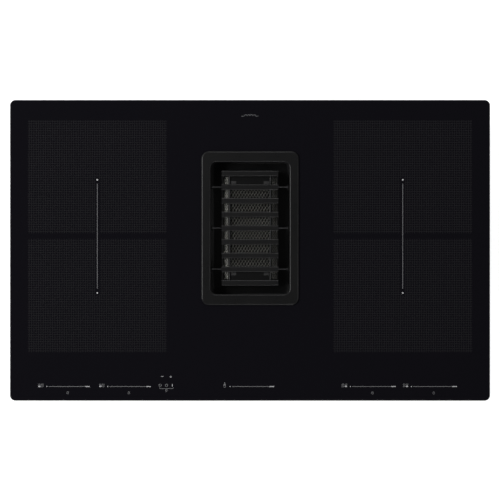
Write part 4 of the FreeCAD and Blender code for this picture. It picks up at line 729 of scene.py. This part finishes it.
class PrintControls(bpy.types.Operator):
    """Printed sliders, keys and symbols along the front edge"""

    bl_idname = "cooktop.print_controls"
    bl_label = "Printed Controls"

    def execute(self, context):
        colour = tuple(context.scene.cooktop_print.line)
        faint = finish("Screen Print", colour, rough=0.5, scale=1500.0, bump=0.1)
        bright = finish("Bright Print", (0.42, 0.42, 0.43), rough=0.5, scale=1500.0, bump=0.1)
        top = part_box("glass_top")[1].z / MM
        plain, strong = Plate(top), Plate(top)
        for index, (start, stop) in enumerate(SLIDERS):
            plain.bar(start, stop - SLIDER_END, SLIDER_Y - LINE_HALF, SLIDER_Y + LINE_HALF)
            strong.bar(stop - SLIDER_END, stop, SLIDER_Y - END_HALF, SLIDER_Y + END_HALF)
            strong.dot(start - 3.2, SLIDER_Y, 0.95)
            if index == len(SLIDERS) // 2:
                self.hood_symbol(plain, start - 12.6, SLIDER_Y + 2.2)
            else:
                self.zone_symbol(plain, strong, start - 13.5, SLIDER_Y + 1.9, start > 0)
                self.clock_symbol(plain, (start + stop) / 2 - 2.6, CLOCK_Y)
        self.key_row(plain, strong)
        self.rear_mark(plain)
        new_piece("printed_symbols", plain.finished("printed_symbols"), "root", faint)
        new_piece("printed_slider_ends", strong.finished("printed_slider_ends"), "root", bright)
        return {"FINISHED"}

    def zone_symbol(self, plain, strong, x, y, right):
        """Four small fields in two columns, one of them filled."""
        half, line = 1.9, 0.55
        for column in (-1, 1):
            for row in (-1, 1):
                cx, cy = x + column * 2.6, y + row * 1.6
                if (column > 0) == right and row < 0:
                    strong.bar(cx - half, cx + half, cy - 1.2, cy + 1.2)
                else:
                    for y0 in (cy - 2 * line, cy + line):
                        plain.bar(cx - half, cx + half, y0, y0 + line)
                    for x0 in (cx - half, cx + half - line):
                        plain.bar(x0, x0 + line, cy - line, cy + line)

    def clock_symbol(self, plain, x, y):
        plain.arc(x, y, 2.0, 0.7, flat=0.8)
        plain.bar(x - 0.25, x + 0.25, y, y + 1.4)

    def hood_symbol(self, plain, x, y):
        """A hood above a dish."""
        plain.polygon(((x - 2.6, y), (x + 2.6, y), (x + 0.9, y + 3.0), (x - 0.9, y + 3.0)))
        plain.bar(x - 0.7, x + 0.7, y + 3.0, y + 5.0)
        plain.arc(x, y - 2.0, 1.7, 0.6)

    def key_row(self, plain, strong):
        """Minus and plus keys above two rings, a stroke, a bracket and a clock."""
        strong.bar(-153.5, -149.7, -218.6, -217.7)
        strong.bar(-138.9, -135.1, -218.9, -218.0)
        strong.bar(-137.4, -136.6, -220.3, -216.6)
        plain.arc(-155.2, -233.3, 2.1, 0.8)
        plain.arc(-144.4, -233.3, 2.1, 0.8)
        strong.bar(-134.6, -133.6, -235.6, -231.0)
        plain.bar(-156.4, -132.5, -239.3, -238.6)
        for x in (-156.4, -133.2):
            plain.bar(x, x + 0.7, -238.6, -236.8)
        self.clock_symbol(plain, -144.6, -241.9)

    def rear_mark(self, plain):
        """A coil symbol of four half loops with its leads."""
        for index in range(4):
            plain.arc(-7.5 + index * 5.0, 232.0, 2.5, 0.8, 0, 180)
        plain.bar(-14.5, -9.6, 231.6, 232.4)
        plain.bar(9.6, 14.5, 231.6, 232.4)


class DressBezel(bpy.types.Operator):
    """Trim frame round the extraction mouth"""

    bl_idname = "cooktop.dress_bezel"
    bl_label = "Trim Frame"

    def execute(self, context):
        dress("vent_bezel", "bezel_seal")
        return {"FINISHED"}


class DressGrille(bpy.types.Operator):
    """Cross slats with their rods and wires"""

    bl_idname = "cooktop.dress_grille"
    bl_label = "Grille"

    def execute(self, context):
        dress("grille_slats", "grille_cross_rods", "grille_wires")
        return {"FINISHED"}


class WeaveFilter(bpy.types.Operator):
    """Expanded metal panels in the filter cassette"""

    bl_idname = "cooktop.weave_filter"
    bl_label = "Grease Filter"

    def execute(self, context):
        sizes = context.scene.cooktop_mesh
        metal = slot_material("filter_metal")
        values = {
            "Across": sizes.across,
            "Along": sizes.along,
            "Strand": sizes.strand,
            "Thickness": sizes.thickness,
            "Tilt": sizes.tilt,
            "Cross Tilt": sizes.cross_tilt,
            "Material": metal,
        }
        low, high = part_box("filter_mesh_centre")
        middle = (low + high) / 2
        edge = sizes.strand
        values.update(Width=high.x - low.x - edge, Length=high.y - low.y - edge)
        panel = baked(expanded_metal(), values)
        for vertex in panel.vertices:
            vertex.co.z -= sizes.sag * (1 - (2 * vertex.co.x / values["Width"]) ** 2)
        panel.transform(Matrix.Translation(middle))
        new_piece("filter_panel_centre", panel, "cassette", metal, ["filter_mesh_centre"])
        low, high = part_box("filter_mesh_sides")
        inner = high.x
        across = self.side_width()
        rise = (high.z - low.z - sizes.thickness) * sizes.lean
        slope = math.hypot(across, rise)
        # These panels are of a finer sheet cut the other way, and all its strands lie nearly flat.
        values.update(Width=high.y - low.y - edge, Length=slope - edge)
        values.update(Across=sizes.along * sizes.finer, Along=sizes.across * sizes.finer)
        values.update({"Strand": edge * sizes.wider, "Tilt": -sizes.tilt, "Cross Tilt": sizes.tilt})
        panel = baked(expanded_metal(), values)
        lean = math.degrees(math.atan2(rise, across))
        parts = []
        level = high.z - (rise + sizes.thickness) / 2
        for side in (-1, 1):
            place = ((inner - across / 2) * side, (low.y + high.y) / 2, level)
            quarter = Matrix.Rotation(side * math.pi / 2, 4, "Z")
            parts.append((panel, turned_by(side * lean, "Y", place) @ quarter))
        panels = join_meshes(*parts)
        new_piece("filter_panels_side", panels, "cassette", metal, ["filter_mesh_sides"])
        dress("cassette_frame", "cassette_clips")
        clips = NODES["cassette_clips"].data.materials
        clips[0] = finish("Clip Steel", colour=(0.07, 0.07, 0.07), metallic=1.0, rough=0.45, scale=500.0)
        return {"FINISHED"}

    def side_width(self):
        """Width of one side panel in plan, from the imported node's own points."""
        points = [v.co.x for v in NODES["filter_mesh_sides"].data.vertices if v.co.x > 0]
        return max(points) - min(points)


class DressWell(bpy.types.Operator):
    """Well, duct seal and the drip container with its grip"""

    bl_idname = "cooktop.dress_well"
    bl_label = "Well And Drip Container"

    def execute(self, context):
        dress("well_housing", "duct_seal", "drip_container", "container_seal")
        radius = context.scene.cooktop_fasteners.rib_radius
        plastic = slot_material("container_plastic")
        low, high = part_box("drip_container")
        values = {"Count": 7, "Pitch": 0.005, "Length": 0.008, "Radius": radius * 0.6, "Material": plastic}
        grip = baked(rib_row(), values)
        inset, depth = 0.0055, 0.005
        grip.transform(Matrix.Translation((0, low.y + inset, high.z - depth)))
        new_piece("container_grip", grip, "container", plastic)
        return {"FINISHED"}


class DressAirPath(bpy.types.Operator):
    """Duct, volute, bell mouth, outlet and the moulded ribs on them"""

    bl_idname = "cooktop.dress_air_path"
    bl_label = "Duct And Blower"

    def execute(self, context):
        dress("inlet_duct", "blower_casing_lower", "blower_casing_upper", "inlet_ring", "outlet_flange")
        dress("impeller_backplate", "impeller_blades", "motor_housing", "motor_bearings", "motor_stator")
        dress("motor_rotor", "motor_shaft", "hanger_studs", "rubber_bushes")
        radius = context.scene.cooktop_fasteners.rib_radius
        plastic = slot_material("duct_plastic")
        axis = node_centre("motor_shaft")
        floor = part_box("blower_casing_lower")[0].z
        values = {"Count": 12, "Circle": 0.068, "Length": 0.044, "Radius": radius, "Lean": math.pi / 2}
        spokes = baked(ring_of_bars(), {**values, "Material": plastic})
        place = Matrix.Translation((axis.x, axis.y, floor))
        new_piece("casing_spokes", join_meshes((spokes, place)), "root", plastic)
        low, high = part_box("inlet_duct")
        values = {"Count": 9, "Pitch": 0.022, "Length": 0.036, "Radius": radius, "Material": plastic}
        row = baked(rib_row(), values)
        parts = []
        for y in (low.y, high.y):
            centre = ((low.x + high.x) / 2, y, (low.z + high.z) / 2)
            parts.append((row, turned_by(90, "X", centre)))
        new_piece("duct_ribs", join_meshes(*parts), "root", plastic)
        return {"FINISHED"}


class DressTray(bpy.types.Operator):
    """Folded tray with its brackets, clips and pressed beads"""

    bl_idname = "cooktop.dress_tray"
    bl_label = "Tray And Clips"

    def execute(self, context):
        dress("tray", "tray_brackets", "worktop_clips")
        sheet = slot_material("galvanised_sheet")
        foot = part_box("tray")[0].z
        radius = context.scene.cooktop_fasteners.rib_radius
        values = {"Count": 5, "Pitch": 0.045, "Length": 0.22, "Radius": radius, "Material": sheet}
        beads = baked(rib_row(), values)
        beads_x, beads_y = -0.264, 0.08
        beads.transform(Matrix.Translation((beads_x, beads_y, foot)))
        new_piece("tray_beads", beads, "root", sheet)
        return {"FINISHED"}


class DriveScrews(bpy.types.Operator):
    """Cross-recessed pan heads in the casing, the tray and the clips"""

    bl_idname = "cooktop.drive_screws"
    bl_label = "Screws"

    def execute(self, context):
        self.place("casing_screws", "casing_screw_heads", (0, 0, 1))
        self.place("tray_screws", "tray_screw_heads", (0, 1, 0))
        self.place("clip_screws", "clip_screw_heads", (1, 0, 0))
        return {"FINISHED"}

    def place(self, node, name, axis):
        """Groups the node's points by solid and puts a head where each solid's own head is."""
        sizes = bpy.context.scene.cooktop_fasteners
        steel = slot_material("screw_steel")
        along = Vector(axis)
        parts = []
        for low, high in self.solids(node):
            middle = (low + high) / 2
            length = (high - low).dot(along)
            outward = 1.0 if along.z or middle.dot(along) > 0 else -1.0
            seat = middle + along * outward * (length / 2 - sizes.head_height)
            turn = (along * outward).to_track_quat("Z", "Y").to_euler()
            values = {
                "Radius": sizes.head_radius,
                "Height": sizes.head_height,
                "Recess": sizes.recess,
                "Shank": length - sizes.head_height,
                "Rotation": turn,
                "Material": steel,
            }
            parts.append((baked(screw_heads(), values, [seat]), Matrix.Identity(4)))
        new_piece(name, join_meshes(*parts), "root", steel, [node])

    def solids(self, node):
        """Lowest and highest corner of each separate solid of a node."""
        copy = bmesh.new()
        copy.from_mesh(NODES[node].data)
        bmesh.ops.remove_doubles(copy, verts=copy.verts, dist=1e-6)
        left, found = set(copy.verts), []
        while left:
            reach, island = [left.pop()], []
            while reach:
                vertex = reach.pop()
                island.append(vertex.co.copy())
                for edge in vertex.link_edges:
                    other = edge.other_vert(vertex)
                    if other in left:
                        left.discard(other)
                        reach.append(other)
            low = Vector([min(p[i] for p in island) for i in range(3)])
            high = Vector([max(p[i] for p in island) for i in range(3)])
            found.append((low, high))
        copy.free()
        return found


class DressHob(bpy.types.Operator):
    """Coils, carriers, boards and cooling fans inside the tray"""

    bl_idname = "cooktop.dress_hob"
    bl_label = "Hob Internals"

    def execute(self, context):
        dress("coil_front_left", "coil_front_right", "coil_rear_left", "coil_rear_right")
        dress("mica_sheets", "temperature_sensors", "ferrite_bars", "coil_carriers", "carrier_springs")
        dress("power_boards", "heat_sinks", "capacitors", "board_posts")
        dress("fan_housings", "fan_rotor_left", "fan_rotor_right")
        dress("touch_boards", "touch_carriers", "touch_pads")
        return {"FINISHED"}


class DressMains(bpy.types.Operator):
    """Mains input with the gland's ribbed nut"""

    bl_idname = "cooktop.dress_mains"
    bl_label = "Mains Input"

    def execute(self, context):
        dress("mains_board", "terminal_block", "terminal_cover", "cable_gland", "wire_harness")
        sizes = context.scene.cooktop_fasteners
        plastic = slot_material("cover_plastic")
        centre = node_centre("cable_gland")
        tray_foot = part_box("tray")[0].z
        values = {"Count": sizes.grips, "Circle": 0.0147, "Length": 0.0042, "Radius": 0.0007, "Lean": 0.0}
        grips = baked(ring_of_bars(), {**values, "Material": plastic})
        nut_drop = 0.0025
        grips.transform(Matrix.Translation((centre.x, centre.y, tray_foot - nut_drop)))
        new_piece("gland_grips", grips, "root", plastic)
        return {"FINISHED"}


# Each lamp's name, setting, place and width, the sky's colours by height, and the camera
LAMPS = (
    ("Key Lamp", "key", (-1.9, 0.3, 2.3), 1.8),
    ("Front Lamp", "front", (0.3, -1.95, 1.95), 0.6),
    ("Rear Lamp", "rear", (0.2, 1.9, 1.95), 1.2),
    ("Right Lamp", "right", (2.0, -0.3, 2.0), 0.6),
)
WALL = (0.36, 0.36, 0.36 * 1.03, 1)
SKY = ((0.09, (1, 1, 1, 1)), (0.15, WALL), (0.3, WALL), (0.85, (0.016, 0.016, 0.016 * 1.03, 1)))
CAMERA_PLACE = (0, 0.0006, 4.808)
CAMERA_LENS, SENSOR_WIDTH, CLIP_END = 200, 36, 50
FLOOR_REACH, FLOOR_SHADE, FLOOR_ROUGHNESS, FLOOR_GLOW = 8.0, 0.82, 0.9, 0.75


class SetStage(bpy.types.Operator):
    """Pale floor, soft lamps, surroundings and the camera above"""

    bl_idname = "cooktop.set_stage"
    bl_label = "Stage"

    def execute(self, context):
        light = context.scene.cooktop_light
        self.floor(CAD_BOX[0][2] - light.drop)
        self.surroundings(context.scene, light.fill)
        for name, setting, place, width in LAMPS:
            self.lamp(name, place, width, getattr(light, setting))
        camera = bpy.data.cameras.new("Camera")
        camera.lens = CAMERA_LENS
        camera.sensor_width = SENSOR_WIDTH
        camera.clip_end = CLIP_END
        holder = bpy.data.objects.new("Camera", camera)
        context.scene.collection.objects.link(holder)
        holder.location = CAMERA_PLACE
        context.scene.camera = holder
        context.scene.view_settings.view_transform = "Standard"
        return {"FINISHED"}

    def floor(self, level):
        """A pale floor, which looks white from wherever it is seen and still takes a shadow."""
        data = bpy.data.meshes.new("Floor")
        signs = ((-1, -1), (1, -1), (1, 1), (-1, 1))
        corners = [(x * FLOOR_REACH, y * FLOOR_REACH, level) for x, y in signs]
        data.from_pydata(corners, [], [(0, 1, 2, 3)])
        floor = bpy.data.objects.new("Floor", data)
        bpy.context.scene.collection.objects.link(floor)
        made, tree, shader = new_material("Pale Floor")
        shader.inputs["Base Color"].default_value = (FLOOR_SHADE, FLOOR_SHADE, FLOOR_SHADE, 1)
        shader.inputs["Roughness"].default_value = FLOOR_ROUGHNESS
        shader.inputs["Emission Color"].default_value = (1, 1, 1, 1)
        path = tree.nodes.new("ShaderNodeLightPath")
        seen = calc(tree, "MAXIMUM", path.outputs["Is Camera Ray"], path.outputs["Is Glossy Ray"])
        seen = calc(tree, "MAXIMUM", seen, path.outputs["Is Transmission Ray"])
        link(tree, calc(tree, "MULTIPLY", seen, FLOOR_GLOW), shader.inputs["Emission Strength"])
        data.materials.append(made)

    def surroundings(self, scene, strength):
        """White at the horizon, grey walls above it and a dark ceiling."""
        world = bpy.data.worlds.new("Surroundings")
        scene.world = world
        world.use_nodes = True
        tree = world.node_tree
        place = tree.nodes.new("ShaderNodeTexCoord").outputs["Generated"]
        height = put(tree, "ShaderNodeSeparateXYZ", Vector=place).outputs[2]
        ramp = tree.nodes.new("ShaderNodeValToRGB")
        bands = ramp.color_ramp.elements
        bands.remove(bands[1])
        bands[0].position, bands[0].color = SKY[0]
        for position, colour in SKY[1:]:
            bands.new(position).color = colour
        link(tree, height, ramp.inputs[0])
        shown = tree.nodes["Background"]
        link(tree, ramp.outputs[0], shown.inputs["Color"])
        shown.inputs["Strength"].default_value = strength

    def lamp(self, name, place, size, power):
        data = bpy.data.lights.new(name, "AREA")
        data.shape = "DISK"
        data.size = size
        data.energy = power
        lamp = bpy.data.objects.new(name, data)
        bpy.context.scene.collection.objects.link(lamp)
        lamp.location = place
        lamp.rotation_mode = "QUATERNION"
        lamp.rotation_quaternion = (-Vector(place)).to_track_quat("-Z", "Y")


class COOKTOP_PT_pieces(bpy.types.Panel):
    """Lists the cooktop's pieces in the sidebar"""

    bl_label = "Cooktop"
    bl_idname = "COOKTOP_PT_pieces"
    bl_space_type = "VIEW_3D"
    bl_region_type = "UI"
    bl_category = "Cooktop"

    def draw(self, context):
        for operator in OPERATORS:
            self.layout.operator(operator.bl_idname)
        for name in SETTINGS:
            settings = getattr(context.scene, name)
            for key in settings.bl_rna.properties.keys():
                if key not in ("rna_type", "name"):
                    self.layout.prop(settings, key)


OPERATORS = (
    DressGlass,
    PrintControls,
    DressBezel,
    DressGrille,
    WeaveFilter,
    DressWell,
    DressAirPath,
    DressTray,
    DriveScrews,
    DressHob,
    DressMains,
    SetStage,
)
SETTINGS = {
    "cooktop_print": ZonePrint,
    "cooktop_mesh": FilterMesh,
    "cooktop_fasteners": Fasteners,
    "cooktop_light": StudioLight,
}


def register():
    for group in SETTINGS.values():
        bpy.utils.register_class(group)
    for operator in OPERATORS:
        bpy.utils.register_class(operator)
    bpy.utils.register_class(COOKTOP_PT_pieces)
    for name, group in SETTINGS.items():
        setattr(bpy.types.Scene, name, PointerProperty(type=group))


def unregister():
    for name in SETTINGS:
        delattr(bpy.types.Scene, name)
    bpy.utils.unregister_class(COOKTOP_PT_pieces)
    for operator in reversed(OPERATORS):
        bpy.utils.unregister_class(operator)
    for group in SETTINGS.values():
        bpy.utils.unregister_class(group)


def main():
    register()
    for operator in OPERATORS:
        family, name = operator.bl_idname.split(".")
        getattr(getattr(bpy.ops, family), name)()


if __name__ == "__main__":
    main()
